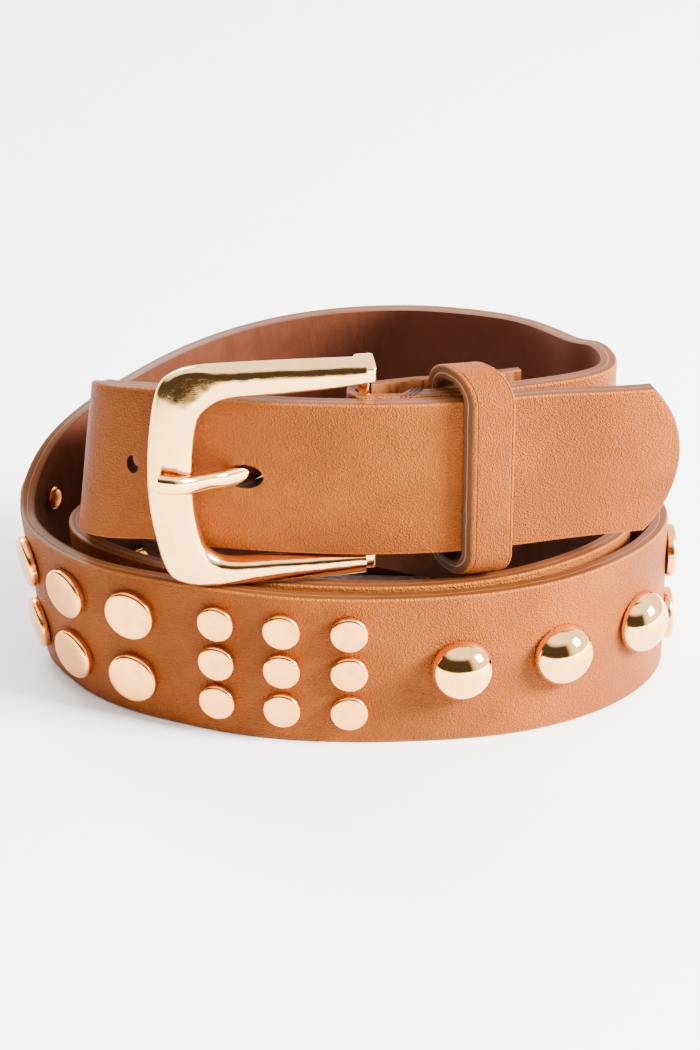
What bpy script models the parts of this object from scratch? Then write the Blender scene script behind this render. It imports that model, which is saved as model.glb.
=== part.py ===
"""Studded leather belt, buckled and coiled into a tall oval that stands on the strap's edge.

The strap starts at a flap behind the buckle, folds round the hinge bar and makes three turns:
a raised turn that comes down to the floor at the left, a studded turn on the floor, and an
inner turn that climbs again at the back and ends in the rounded tip, which goes through the
buckle and the keeper. Metres, +Z up, and the buckle faces -Y. The whole belt stands on Z = 0
with the middle of its outline on the Z axis.
"""

import math
from collections import namedtuple

import bmesh
import bpy
import numpy as np

# Leather
STRAP_WIDTH = 0.0350
FACE_WALL = 0.0018
LINING_WALL = 0.0014
LINING_INSET = 0.0002
GAP = 0.0003

# Oval of the coil, measured on the outer face of the floor turn
OVAL_WIDTH = 0.1410
OVAL_DEPTH = 0.0834
FLAP_END_X = 0.0430
LINING_START_X = 0.0120
TIP_ROUND = 0.0070
TIP_ARC = (1.0, 0.8, 0.6, 0.4, 0.2, 0.06)
SECTION_STEP = 0.0132
SECTION_TURN = math.radians(9.0)
SECTION_LEAN = 0.0012

# Buckle frame
BAR_X = 0.0034
BAR_RADIUS = 0.0016
FRAME_REACH = 0.0460
FRAME_THICK = 0.0046
FRAME_STANDOFF = 0.0024
FRAME_SWING = math.radians(6.5)
ARM_HEIGHT = 0.0060
STRAP_PLAY = 0.0040
EAR_LENGTH = 0.0040
EAR_HEIGHT = 0.0036
EAR_BACK = 0.0017

# Prong
PRONG_WIDTH = 0.0044
PRONG_THICK = 0.0026
PRONG_EYE_WALL = 0.0014
PRONG_RISE = 0.0030
PRONG_SHORT = 0.0018

# Keeper
KEEPER_X = 0.0308
KEEPER_WIDTH = 0.0090
KEEPER_WALL = 0.0030
KEEPER_PLAY = 0.0064
KEEPER_SKEW = 0.55
KEEPER_CORNER = 0.0066

# Punched holes, counted from the one that holds the prong towards the free end of the row
PUNCH_PITCH = 0.0245
PUNCH_COUNT = 5
PUNCH_WIDTH = 0.0027
PUNCH_HEIGHT = 0.0041
PRONG_HOLE_WIDTH = 0.0084
PRONG_HOLE_HEIGHT = 0.0056
HOLE_SQUARE = 0.7
PRONG_HOLE_X = -0.0236

# Studs
SHANK_RADIUS = 0.0012
RIVET_RADIUS = 0.0026
RIVET_THICK = 0.0006
BIG_RADIUS = 0.0058
BIG_HEIGHT = 0.0018
SMALL_RADIUS = 0.0041
SMALL_HEIGHT = 0.0016
DOME_RADIUS = 0.0070
DOME_HEIGHT = 0.0056
PAIR_COLUMNS = 4
PAIR_ROW_PITCH = 0.0158
BLOCK_COLUMNS = 3
BLOCK_ROW_PITCH = 0.0096
DOMES_IN_PATTERNS = (3, 2)
FIRST_STUD_TURN = 255.5

# Steps from stud to stud along the strap, which keep to the girth of the coil
GIRTH = math.pi * (OVAL_WIDTH + OVAL_DEPTH) / 2
PAIR_PITCH = 0.04823 * GIRTH
BLOCK_PITCH = 0.04057 * GIRTH
DOME_PITCH = 0.06440 * GIRTH
PAIRS_TO_BLOCK = 0.05617 * GIRTH
BLOCK_TO_DOMES = 0.06809 * GIRTH
DOMES_TO_PAIRS = 0.05532 * GIRTH

STRAP_THICK = FACE_WALL + GAP + LINING_WALL
LAYER = STRAP_THICK + GAP
KEEPER_INSIDE = 2 * STRAP_THICK + 5 * GAP
FOLD_RADIUS = BAR_RADIUS + GAP + FACE_WALL
FRAME_BOTTOM = STRAP_WIDTH + 2 * GAP
UPPER_TIER = FRAME_BOTTOM + ARM_HEIGHT + GAP
FRAME_HEIGHT = 2 * ARM_HEIGHT + STRAP_WIDTH + STRAP_PLAY
UPPER_MIDDLE = UPPER_TIER + STRAP_WIDTH / 2

# The route of the strap. turn: degrees round the oval, 0 at the front and 90 at the right.
# under: how many layers of strap lie outside this one. inset: further way in, as a share of
# OVAL_DEPTH. lift: bottom edge, as a share of UPPER_TIER. lean: how far the top edge stands
# further out than the bottom edge, as a share of STRAP_WIDTH.
Station = namedtuple("Station", "turn under inset lift lean")
RAISED_TURN = (
    Station(3.0, 2, 0.041, 1.00, 0.00),
    Station(12.0, 2, 0.035, 1.00, 0.00),
    Station(24.0, 2, 0.027, 1.00, 0.00),
    Station(37.0, 2, 0.017, 1.00, 0.00),
    Station(50.0, 2, -0.006, 1.00, 0.00),
    Station(60.0, 2, -0.002, 1.00, 0.00),
    Station(69.0, 2, 0.041, 1.00, -0.02),
    Station(101.0, 0, 0.223, 0.97, -0.09),
    Station(129.0, 0, 0.178, 0.92, -0.14),
    Station(146.0, 0, 0.098, 0.88, -0.20),
    Station(160.0, 0, 0.055, 0.84, -0.20),
    Station(171.0, 0, 0.022, 0.78, -0.13),
    Station(184.0, 0, 0.010, 0.73, -0.08),
    Station(209.0, 0, 0.032, 0.62, -0.03),
    Station(231.0, 0, 0.036, 0.45, 0.03),
    Station(250.0, 0, 0.000, 0.24, 0.11),
    Station(267.0, 0, -0.004, 0.04, 0.13),
)
FLOOR_TURN = (
    Station(291.0, 0, 0.012, 0.00, 0.12),
    Station(309.0, 0, 0.009, 0.00, 0.08),
    Station(326.0, 0, 0.016, 0.00, 0.02),
    Station(347.0, 0, 0.004, 0.00, 0.00),
    Station(368.0, 0, -0.004, 0.00, 0.00),
    Station(395.0, 0, -0.019, 0.00, -0.03),
    Station(415.0, 0, -0.011, 0.00, -0.04),
    Station(446.0, 0, 0.005, 0.00, 0.00),
    Station(466.0, 0, 0.016, 0.00, 0.00),
    Station(501.0, 0, 0.016, 0.00, 0.00),
    Station(516.0, 0, 0.045, 0.00, 0.00),
    Station(531.0, 1, 0.020, 0.00, 0.00),
    Station(547.0, 1, 0.018, 0.00, 0.00),
    Station(568.0, 1, 0.068, 0.00, 0.00),
    Station(586.0, 1, 0.110, 0.00, 0.00),
    Station(605.0, 1, 0.114, 0.00, 0.00),
    Station(622.0, 1, 0.095, 0.00, 0.03),
    Station(639.0, 1, 0.068, 0.00, 0.07),
)
INNER_TURN = (
    Station(651.5, 1, 0.053, 0.00, 0.09),
    Station(658.0, 1, 0.051, 0.00, 0.09),
    Station(673.0, 1, 0.047, 0.00, 0.06),
    Station(686.0, 1, 0.036, 0.00, 0.03),
    Station(716.0, 1, 0.022, 0.00, 0.00),
    Station(743.0, 1, 0.008, 0.00, 0.00),
    Station(769.0, 1, 0.025, 0.00, 0.00),
    Station(795.0, 1, 0.044, 0.00, 0.00),
    Station(818.0, 2, 0.043, 0.00, 0.00),
    Station(844.0, 2, 0.047, 0.00, 0.00),
    Station(863.0, 2, 0.030, 0.01, 0.00),
    Station(879.0, 2, 0.034, 0.05, 0.00),
    Station(893.0, 2, 0.046, 0.12, 0.00),
    Station(907.0, 2, 0.056, 0.20, 0.00),
    Station(921.0, 2, 0.068, 0.29, 0.00),
    Station(934.0, 2, 0.098, 0.38, 0.00),
    Station(949.0, 2, 0.124, 0.49, 0.00),
    Station(966.0, 2, 0.133, 0.61, 0.00),
    Station(984.0, 2, 0.118, 0.71, -0.04),
    Station(1005.0, 2, 0.073, 0.80, -0.08),
    Station(1014.5, 2, 0.025, 0.88, -0.10),
    Station(1020.5, 1, 0.027, 0.93, -0.12),
)
TIP_RUN = (
    Station(1027.0, 1, 0.005, 0.96, -0.10),
    Station(1034.0, 1, 0.010, 0.98, -0.06),
    Station(1042.0, 1, 0.025, 1.00, -0.03),
    Station(1050.0, 1, 0.031, 1.00, -0.02),
    Station(1064.0, 1, 0.038, 1.00, 0.00),
    Station(1077.0, 1, 0.040, 1.00, 0.00),
    Station(1092.0, 1, 0.032, 1.00, 0.00),
    Station(1104.0, 1, 0.024, 1.00, 0.00),
    Station(1117.0, 1, 0.006, 1.00, 0.02),
    Station(1128.5, 1, -0.040, 1.00, 0.07),
    Station(1138.5, 1, -0.104, 1.00, 0.09),
    Station(1144.0, 1, -0.144, 1.00, 0.10),
)
ROUTE = RAISED_TURN + FLOOR_TURN + INNER_TURN + TIP_RUN

# Outline of the buckle frame from the upper arm's end round to the lower arm's end.
# Along: share of FRAME_REACH from the hinge bar. High: share of half FRAME_HEIGHT.
Outline = namedtuple("Outline", "outer_along outer_high inner_along inner_high")
FRAME_OUTLINE = (
    Outline(0.010, 0.975, 0.010, 0.770),
    Outline(0.110, 0.980, 0.110, 0.750),
    Outline(0.350, 0.990, 0.350, 0.725),
    Outline(0.620, 0.995, 0.600, 0.710),
    Outline(0.790, 0.985, 0.690, 0.670),
    Outline(0.890, 0.925, 0.745, 0.590),
    Outline(0.950, 0.780, 0.770, 0.460),
    Outline(0.985, 0.450, 0.785, 0.250),
    Outline(1.000, 0.070, 0.790, 0.030),
    Outline(0.995, -0.250, 0.785, -0.250),
    Outline(0.970, -0.550, 0.765, -0.480),
    Outline(0.920, -0.860, 0.735, -0.640),
    Outline(0.850, -0.965, 0.680, -0.730),
    Outline(0.760, -1.000, 0.600, -0.765),
    Outline(0.560, -1.000, 0.450, -0.770),
    Outline(0.350, -0.995, 0.300, -0.770),
    Outline(0.110, -0.980, 0.110, -0.770),
    Outline(0.010, -0.970, 0.010, -0.770),
)

# Section of the frame. Across: share of the way from the inner to the outer outline.
# Proud: share of FRAME_THICK in front of the frame's back.
Crown = namedtuple("Crown", "across proud")
FRAME_SECTION = (
    Crown(0.06, 0.00),
    Crown(0.00, 0.42),
    Crown(0.22, 0.80),
    Crown(0.52, 1.00),
    Crown(0.82, 0.84),
    Crown(1.00, 0.40),
    Crown(0.94, 0.00),
)


def material(name, colour, roughness, metallic):
    made = bpy.data.materials.new(name)
    made.use_nodes = True
    shader = made.node_tree.nodes["Principled BSDF"]
    shader.inputs["Base Color"].default_value = (*colour, 1.0)
    shader.inputs["Roughness"].default_value = roughness
    shader.inputs["Metallic"].default_value = metallic
    made.diffuse_color = (*colour, 1.0)
    return made


def add_object(name, shape, look, smooth_angle=math.radians(35)):
    """An object from a bmesh, hung on the belt's empty."""
    bmesh.ops.recalc_face_normals(shape, faces=shape.faces)
    mesh = bpy.data.meshes.new(name)
    shape.to_mesh(mesh)
    shape.free()
    mesh.shade_smooth()
    mesh.set_sharp_from_angle(angle=smooth_angle)
    if look:
        mesh.materials.append(look)
    made = bpy.data.objects.new(name, mesh)
    bpy.context.scene.collection.objects.link(made)
    return made


def boolean(target, other, operation):
    """Cuts or joins the other object, which is then only a helper."""
    step = target.modifiers.new(f"{operation.lower()}_{other.name}", "BOOLEAN")
    step.operation = operation
    step.solver = "EXACT"
    step.object = other
    other.hide_render = True
    other.display_type = "WIRE"


def tube(shape, rings, closed=False, halved=()):
    """Skins a row of rings that hold the same number of points, with flat ends unless closed.
    The sides listed as halved are made of triangles that share the far corner given there."""
    rows = [[shape.verts.new(point) for point in ring] for ring in rings]
    sides = len(rows[0])
    ends = len(rows) if closed else len(rows) - 1
    for i in range(ends):
        near, far = rows[i], rows[(i + 1) % len(rows)]
        for k in range(sides):
            m = (k + 1) % sides
            if (k, m) in halved:
                shape.faces.new((near[k], near[m], far[m]))
                shape.faces.new((near[k], far[m], far[k]))
            elif (m, k) in halved:
                shape.faces.new((near[k], near[m], far[k]))
                shape.faces.new((near[m], far[m], far[k]))
            else:
                shape.faces.new((near[k], near[m], far[m], far[k]))
    if not closed:
        shape.faces.new(rows[0])
        shape.faces.new(rows[-1])


class Spline:
    """Smooth curves through the columns of a table, with the first column as the place."""

    def __init__(self, rows):
        self.table = np.array(rows, float)
        x, y = self.table[:, 0], self.table[:, 1:]
        step = np.diff(x)
        slope = np.diff(y, axis=0) / step[:, None]
        count = len(x)
        system = np.zeros((count, count))
        right = np.zeros_like(y)
        system[0, 0] = system[-1, -1] = 1.0
        for i in range(1, count - 1):
            system[i, i - 1] = step[i - 1]
            system[i, i] = 2 * (step[i - 1] + step[i])
            system[i, i + 1] = step[i]
            right[i] = 3 * (slope[i] - slope[i - 1])
        self.bend = np.linalg.solve(system, right)
        self.slope = slope
        self.step = step

    def __call__(self, place):
        x, y = self.table[:, 0], self.table[:, 1:]
        i = int(np.clip(np.searchsorted(x, place) - 1, 0, len(x) - 2))
        h, t = self.step[i], place - x[i]
        b, c = self.bend[i], self.bend[i + 1]
        first = self.slope[i] - h * (2 * b + c) / 3
        return y[i] + t * (first + t * (b + t * (c - b) / (3 * h)))


class Section:
    """One upright section of the strap: a point on its outer face halfway up, the way it
    runs, the way out of the oval, its lower and upper edge and its lean."""

    def __init__(self, middle, along, bottom, top, lean):
        self.middle = np.array(middle, float)
        self.along = np.array(along, float) / np.hypot(*along)
        self.out = np.array((self.along[1], -self.along[0]))
        self.bottom = bottom
        self.top = top
        self.lean = lean

    def point(self, depth, height):
        """A point so far behind the outer face, at a share of the height from the bottom."""
        place = self.middle + self.out * (self.lean * (height - 0.5) - depth)
        return np.array((*place, self.bottom + (self.top - self.bottom) * height))


ROUTE_SPLINE = Spline(ROUTE)


def oval(turn):
    """Point and outward direction of the oval at so many degrees from its front."""
    angle = math.radians(turn)
    half_wide, half_deep = OVAL_WIDTH / 2, OVAL_DEPTH / 2
    point = np.array((half_wide * math.sin(angle), -half_deep * math.cos(angle)))
    out = np.array((half_deep * math.sin(angle), -half_wide * math.cos(angle)))
    return point, out / np.hypot(*out)


def turn_at(x, turns=0):
    """Degrees at which the front of the oval passes a given x."""
    return 360.0 * turns + math.degrees(math.asin(x / (OVAL_WIDTH / 2)))


def route_depth(turn):
    under, inset, _, _ = ROUTE_SPLINE(turn)
    return under * LAYER + inset * OVAL_DEPTH


def route_middle(turn):
    point, out = oval(turn)
    return point - out * route_depth(turn)


def route_section(turn):
    """The strap's section at one place of the route table."""
    small = 0.05
    along = route_middle(turn + small) - route_middle(turn - small)
    _, _, lift, lean = ROUTE_SPLINE(turn)
    bottom = max(lift, 0.0) * UPPER_TIER
    lean *= STRAP_WIDTH
    return Section(
        route_middle(turn), along, bottom, bottom + math.sqrt(STRAP_WIDTH**2 - lean**2), lean
    )


def bar_centre():
    """The hinge bar's axis lies behind the tip, inside the fold of the strap's other end."""
    turn = turn_at(BAR_X)
    point, out = oval(turn)
    return point - out * (route_depth(turn) + FOLD_RADIUS), out


def fold_sections():
    """The flap behind the keeper, and the fold round the hinge bar."""
    centre, out = bar_centre()
    along = np.array((-out[1], out[0]))
    top = UPPER_TIER + STRAP_WIDTH
    behind = KEEPER_INSIDE + KEEPER_WALL - LAYER + GAP + FACE_WALL
    keeper_behind_x = KEEPER_X - KEEPER_SKEW * (2 * STRAP_THICK + KEEPER_WALL) - KEEPER_WIDTH
    sections = []
    for share in np.linspace(0.0, 1.0, 5):
        x = FLAP_END_X + share * (keeper_behind_x - FLAP_END_X)
        turn = turn_at(x)
        point, way = oval(turn)
        middle = point - way * (route_depth(turn) + behind)
        back = (way[1], -way[0])
        sections.append(Section(middle, back, UPPER_TIER, top, 0.0))
    for degrees in range(0, 181, 20):
        angle = math.radians(degrees)
        way = -out * math.cos(angle) - along * math.sin(angle)
        middle = centre + way * FOLD_RADIUS
        run = (-way[1], way[0])
        sections.append(Section(middle, run, UPPER_TIER, top, 0.0))
    return sections


def run_sections(start, end):
    """Sections along the route, closer together where the strap bends."""
    found = [route_section(start)]
    turn = start
    while turn < end - 0.5:
        turn += 0.5
        here = route_section(turn)
        last = found[-1]
        far = np.hypot(*(here.middle - last.middle)) > SECTION_STEP
        bent = math.acos(min(1.0, float(here.along @ last.along))) > SECTION_TURN
        tilted = abs(here.lean - last.lean) > SECTION_LEAN
        if far or bent or tilted:
            found.append(here)
    return found


def round_tip(sections, rail):
    """Ends the strap in its rounded tip, an arc from edge to edge."""
    whole = rail.lengths[-1]
    last = rail.section(whole)
    kept = [s for s in sections if np.hypot(*(s.middle - last.middle)) > TIP_ROUND * 1.1
            or s.bottom < UPPER_TIER * 0.9]
    half = STRAP_WIDTH / 2
    radius = (half**2 + TIP_ROUND**2) / (2 * TIP_ROUND)
    for share in TIP_ARC:
        angle = share * math.asin(half / radius)
        full = rail.section(whole - radius * (1 - math.cos(angle)))
        reach = radius * math.sin(angle) / half
        low = full.bottom + (full.top - full.bottom) * (1 - reach) / 2
        high = full.bottom + (full.top - full.bottom) * (1 + reach) / 2
        kept.append(Section(full.middle, full.along, low, high, full.lean * reach))
    return kept


def strap_wall(name, sections, front, back, trim, look):
    """One leather wall between two depths behind the outer face."""
    shape = bmesh.new()
    rings = []
    for section in sections:
        low = trim / (section.top - section.bottom)
        rings.append(
            (
                section.point(front, low),
                section.point(front, 1 - low),
                section.point(back, 1 - low),
                section.point(back, low),
            )
        )
    tube(shape, rings, halved=((0, 1), (3, 2)))
    return add_object(name, shape, look)


class Rail:
    """The strap's outer face by length, from the hinge bar."""

    def __init__(self, start, end):
        self.turns = np.linspace(start, end, 1600)
        middles = np.array([route_middle(turn) for turn in self.turns])
        steps = np.hypot(*np.diff(middles, axis=0).T)
        self.lengths = np.concatenate(([0.0], np.cumsum(steps)))

    def length_at(self, turn):
        return float(np.interp(turn, self.turns, self.lengths))

    def section(self, length):
        return route_section(float(np.interp(length, self.lengths, self.turns)))


def seat(section, high):
    """Origin and axes on the outer face: along the strap, up its width and out of it."""
    share = 0.5 + high / STRAP_WIDTH
    origin = section.point(0.0, share)
    up = section.point(0.0, 1.0) - section.point(0.0, 0.0)
    up /= np.linalg.norm(up)
    along = np.array((*section.along, 0.0))
    out = np.cross(along, up)
    return origin, along, up, out / np.linalg.norm(out)


def turned(shape, place, profile, sides):
    """Turns a profile of (radius, height) about the seat's outward axis."""
    origin, along, up, out = place
    rings = []
    for radius, height in profile:
        ring = []
        for k in range(sides):
            angle = 2 * math.pi * k / sides
            way = along * math.cos(angle) + up * math.sin(angle)
            ring.append(origin + way * radius + out * height)
        rings.append(ring)
    tube(shape, rings)


def stud_profile(radius, height, domed):
    """Rivet back, shank through both leathers and a cap that is crowned or domed."""
    back = -STRAP_THICK - 2 * GAP
    profile = [
        (RIVET_RADIUS * 0.7, back - RIVET_THICK),
        (RIVET_RADIUS, back),
        (SHANK_RADIUS, back),
        (SHANK_RADIUS, GAP),
        (radius, GAP),
    ]
    if domed:
        for degrees in (12, 42, 68):
            angle = math.radians(degrees)
            profile.append((radius * math.cos(angle), GAP + height * math.sin(angle)))
        profile.append((radius * 0.1, GAP + height))
    else:
        profile.append((radius * 0.86, GAP + height * 0.9))
        profile.append((radius * 0.1, GAP + height))
    return profile


StudPlace = namedtuple("StudPlace", "kind length high")


def stud_places(first):
    """Pairs, then a block of three by three, then domes, along the strap."""
    places = []
    length = first
    for domes in DOMES_IN_PATTERNS:
        for column in range(PAIR_COLUMNS):
            for high in (PAIR_ROW_PITCH / 2, -PAIR_ROW_PITCH / 2):
                places.append(StudPlace("big_stud", length + column * PAIR_PITCH, high))
        length += (PAIR_COLUMNS - 1) * PAIR_PITCH + PAIRS_TO_BLOCK
        for column in range(BLOCK_COLUMNS):
            for row in (1, 0, -1):
                high = row * BLOCK_ROW_PITCH
                places.append(StudPlace("small_stud", length + column * BLOCK_PITCH, high))
        length += (BLOCK_COLUMNS - 1) * BLOCK_PITCH + BLOCK_TO_DOMES
        for column in range(domes):
            places.append(StudPlace("dome_stud", length + column * DOME_PITCH, 0.0))
        length += (domes - 1) * DOME_PITCH + DOMES_TO_PAIRS
    return places


STUD_KINDS = {
    "big_stud": (BIG_RADIUS, BIG_HEIGHT, False, 10),
    "small_stud": (SMALL_RADIUS, SMALL_HEIGHT, False, 8),
    "dome_stud": (DOME_RADIUS, DOME_HEIGHT, True, 12),
}


def add_studs(rail, places, look):
    counts = {}
    for place in places:
        counts[place.kind] = counts.get(place.kind, 0) + 1
        radius, height, domed, sides = STUD_KINDS[place.kind]
        shape = bmesh.new()
        where = seat(rail.section(place.length), place.high)
        turned(shape, where, stud_profile(radius, height, domed), sides)
        add_object(f"{place.kind}_{counts[place.kind]:02d}", shape, look)


def hole_cutter(rail, studs, holes):
    """Prisms through the strap: six-sided at the studs, long and rounded at the punched holes."""
    shape = bmesh.new()
    sides = 6
    reach = STRAP_THICK + 3 * GAP
    loose = (SHANK_RADIUS + GAP) / math.cos(math.pi / sides)
    for place in studs:
        where = seat(rail.section(place.length), place.high)
        turned(shape, where, ((loose, -reach), (loose, GAP)), sides)
    for length, wide, tall in holes:
        origin, along, up, out = seat(rail.section(length), 0.0)
        rings = []
        for height in (-reach, GAP):
            ring = []
            for k in range(10):
                angle = 2 * math.pi * (k + 0.5) / 10
                across = math.copysign(abs(math.cos(angle)) ** HOLE_SQUARE, math.cos(angle))
                high = math.copysign(abs(math.sin(angle)) ** HOLE_SQUARE, math.sin(angle))
                flat = along * across * wide / 2 + up * high * tall / 2
                ring.append(origin + flat + out * height)
            rings.append(ring)
        tube(shape, rings)
    return add_object("hole_cutter", shape, None)


def slot_cutter():
    """The slot in the fold that the prong's eye sits in."""
    centre, out = bar_centre()
    along = np.array((-out[1], out[0]))
    shape = bmesh.new()
    half = PRONG_WIDTH / 2 + 2 * GAP
    near = FOLD_RADIUS + GAP / 2
    rings = []
    for z in (UPPER_MIDDLE - half, UPPER_MIDDLE + half):
        ring = []
        for u, w in ((-1.2, 1), (1.2, 1), (1.2, -1.2), (-1.2, -1.2)):
            flat = centre + along * u * FOLD_RADIUS + out * w * near
            ring.append((*flat, z))
        rings.append(ring)
    tube(shape, rings)
    return add_object("prong_slot_cutter", shape, None)


class FrameAxes:
    """The buckle frame's own axes: from the bar towards the free side, up, and to the front."""

    def __init__(self):
        centre, out = bar_centre()
        turn = FRAME_SWING
        away = np.array((out[1], -out[0]))
        self.away = away * math.cos(turn) + out * math.sin(turn)
        self.front = out * math.cos(turn) - away * math.sin(turn)
        self.centre = centre
        self.middle = FRAME_BOTTOM + FRAME_HEIGHT / 2

    def point(self, along, high, proud):
        flat = self.centre + self.away * along + self.front * proud
        return np.array((*flat, self.middle + high))


def add_buckle_frame(look):
    """The cast frame: two arms and a broad crowned side, ears at the arm ends, and the bar."""
    axes = FrameAxes()
    shape = bmesh.new()
    rings = []
    for row in FRAME_OUTLINE:
        ring = []
        for crown in FRAME_SECTION:
            share = crown.across
            along = row.inner_along + (row.outer_along - row.inner_along) * share
            high = row.inner_high + (row.outer_high - row.inner_high) * share
            proud = FRAME_STANDOFF + crown.proud * FRAME_THICK
            ring.append(axes.point(along * FRAME_REACH, high * FRAME_HEIGHT / 2, proud))
        rings.append(ring)
    tube(shape, rings)
    frame = add_object("buckle_frame", shape, look)

    first = FRAME_OUTLINE[0]
    ear_in = FRAME_HEIGHT / 2 * first.inner_high + GAP / 2
    ear_out = ear_in + EAR_HEIGHT
    ear_front = FRAME_STANDOFF + FRAME_THICK * 0.8
    for name, side in (("upper_ear", 1), ("lower_ear", -1)):
        block = bmesh.new()
        rings = []
        for high in (ear_in, ear_out):
            ring = []
            for along, proud in (
                (-EAR_LENGTH / 2, -EAR_BACK),
                (EAR_LENGTH / 2, -EAR_BACK),
                (EAR_LENGTH * 1.1, FRAME_STANDOFF + 2 * GAP),
                (EAR_LENGTH * 0.9, ear_front),
                (-EAR_LENGTH / 2 + GAP, ear_front),
            ):
                ring.append(axes.point(along, side * high, proud))
            rings.append(ring)
        tube(block, rings)
        boolean(frame, add_object(name, block, look), "UNION")

    bar = bmesh.new()
    rings = []
    for high in (-ear_in - EAR_HEIGHT * 0.45, ear_in + EAR_HEIGHT * 0.45):
        ring = []
        for k in range(10):
            angle = 2 * math.pi * k / 10
            ring.append(
                axes.point(math.cos(angle) * BAR_RADIUS, high, math.sin(angle) * BAR_RADIUS)
            )
        rings.append(ring)
    tube(bar, rings)
    boolean(frame, add_object("hinge_bar", bar, look), "UNION")
    return frame


def prong_route(axes):
    """Middle line of the prong, in plan: from the eye, behind the tip, out through its hole
    and on to the broad side of the frame."""
    centre, out = bar_centre()
    along = np.array((-out[1], out[0]))
    behind = FOLD_RADIUS - PRONG_THICK / 2 - GAP
    hole_turn = turn_at(PRONG_HOLE_X, 3)
    hole = route_section(hole_turn)
    halfway = route_section(turn_at(PRONG_HOLE_X / 2, 3))
    half_hole = PRONG_HOLE_WIDTH / 2
    inside = hole.middle - hole.out * (STRAP_THICK + PRONG_THICK * 0.8) + hole.along * half_hole
    outside = hole.middle + hole.out * PRONG_THICK * 0.8 - hole.along * half_hole
    rest = FRAME_STANDOFF + FRAME_THICK + PRONG_THICK / 2 + GAP
    broad_side = max(FRAME_OUTLINE, key=lambda row: row.outer_along)
    side_in = broad_side.inner_along * FRAME_REACH
    side_out = broad_side.outer_along * FRAME_REACH
    over = axes.point(side_in, 0.0, rest * 0.78)[:2]
    flat_start = axes.point(side_in + (side_out - side_in) * 0.4, 0.0, rest)[:2]
    return [
        centre + out * behind * 0.4 - along * BAR_RADIUS * 1.6,
        centre + out * behind * 0.62 - along * FOLD_RADIUS * 1.6,
        halfway.middle - halfway.out * (STRAP_THICK + PRONG_THICK),
        inside + hole.along * PRONG_THICK - hole.out * PRONG_THICK * 0.2,
        inside,
        hole.middle - hole.out * STRAP_THICK / 2,
        outside,
        over,
        flat_start,
        axes.point(side_out - PRONG_SHORT, 0.0, rest)[:2],
    ]


def add_prong(look):
    axes = FrameAxes()
    points = prong_route(axes)
    steps = [np.hypot(*(b - a)) for a, b in zip(points, points[1:])]
    lengths = np.concatenate(([0.0], np.cumsum(steps)))
    curve = Spline([(s, *p) for s, p in zip(lengths, points)])
    start, end = lengths[6], lengths[-1]
    shape = bmesh.new()
    rings = []
    for length in np.linspace(0.0, end, 22):
        middle = curve(length)
        ahead = curve(min(length + 1e-4, end)) - curve(max(length - 1e-4, 0.0))
        ahead /= np.hypot(*ahead)
        side = np.array((-ahead[1], ahead[0]))
        z = UPPER_MIDDLE + PRONG_RISE * max(0.0, (length - start) / (end - start))
        ring = []
        for k in range(8):
            angle = 2 * math.pi * (k + 0.5) / 8
            flat = middle + side * math.cos(angle) * PRONG_THICK / 2 / math.cos(math.pi / 8)
            ring.append((*flat, z + math.sin(angle) * PRONG_WIDTH / 2 / math.cos(math.pi / 8)))
        rings.append(ring)
    tube(shape, rings)
    prong = add_object("buckle_prong", shape, look)

    eye = bmesh.new()
    inner = BAR_RADIUS + GAP
    outer = inner + PRONG_EYE_WALL
    half = PRONG_WIDTH / 2
    rings = []
    for k in range(14):
        angle = 2 * math.pi * k / 14
        ring = []
        for radius, high in ((inner / math.cos(math.pi / 14), -half), (outer, -half),
                             (outer, half), (inner / math.cos(math.pi / 14), half)):
            flat = axes.centre + radius * np.array((math.cos(angle), math.sin(angle)))
            ring.append((*flat, UPPER_MIDDLE + high))
        rings.append(ring)
    tube(eye, rings, closed=True)
    boolean(prong, add_object("prong_eye", eye, look), "UNION")
    return prong


def rounded_loop(depth, height, corner, per_corner):
    """Points round a rectangle with round corners, as (depth, height) from its middle."""
    points = []
    for quarter, (sx, sz) in enumerate(((1, 1), (-1, 1), (-1, -1), (1, -1))):
        for k in range(per_corner + 1):
            angle = math.pi / 2 * (quarter + k / per_corner)
            points.append(
                (
                    sx * (depth / 2 - corner) + corner * math.cos(angle),
                    sz * (height / 2 - corner) + corner * math.sin(angle),
                )
            )
    return points


def add_keeper(look):
    """A skewed leather loop round the tip and the strap behind it."""
    depth = KEEPER_INSIDE + 2 * KEEPER_WALL
    height = STRAP_WIDTH + KEEPER_PLAY + 2 * KEEPER_WALL
    outer = rounded_loop(depth, height, KEEPER_CORNER, 5)
    inner = rounded_loop(KEEPER_INSIDE, height - 2 * KEEPER_WALL, KEEPER_CORNER - KEEPER_WALL, 5)
    centre_z = FRAME_BOTTOM + height / 2
    shape = bmesh.new()
    rings = []
    for near, far in zip(outer, inner):
        ring = []
        for (forward, high), side in ((near, -1), (near, 1), (far, 1), (far, -1)):
            slide = side * KEEPER_WIDTH / 2 + KEEPER_SKEW * (forward - depth / 2)
            section = route_section(turn_at(KEEPER_X + slide, 3))
            flat = section.middle + section.out * (forward - KEEPER_INSIDE / 2 + GAP)
            ring.append((*flat, centre_z + high))
        rings.append(ring)
    tube(shape, rings, closed=True)
    return add_object("keeper", shape, look)


def stand_on_axis():
    """Hangs everything on one empty that brings the middle of the outline to the Z axis."""
    shown = [o for o in bpy.context.scene.objects if o.type == "MESH" and not o.hide_render]
    points = np.array([tuple(v.co) for o in shown for v in o.data.vertices])
    middle = (points.min(axis=0) + points.max(axis=0)) / 2
    belt = bpy.data.objects.new("belt", None)
    bpy.context.scene.collection.objects.link(belt)
    for o in list(bpy.context.scene.objects):
        if o != belt:
            o.parent = belt
    belt.location = (-middle[0], -middle[1], 0.0)


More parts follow.
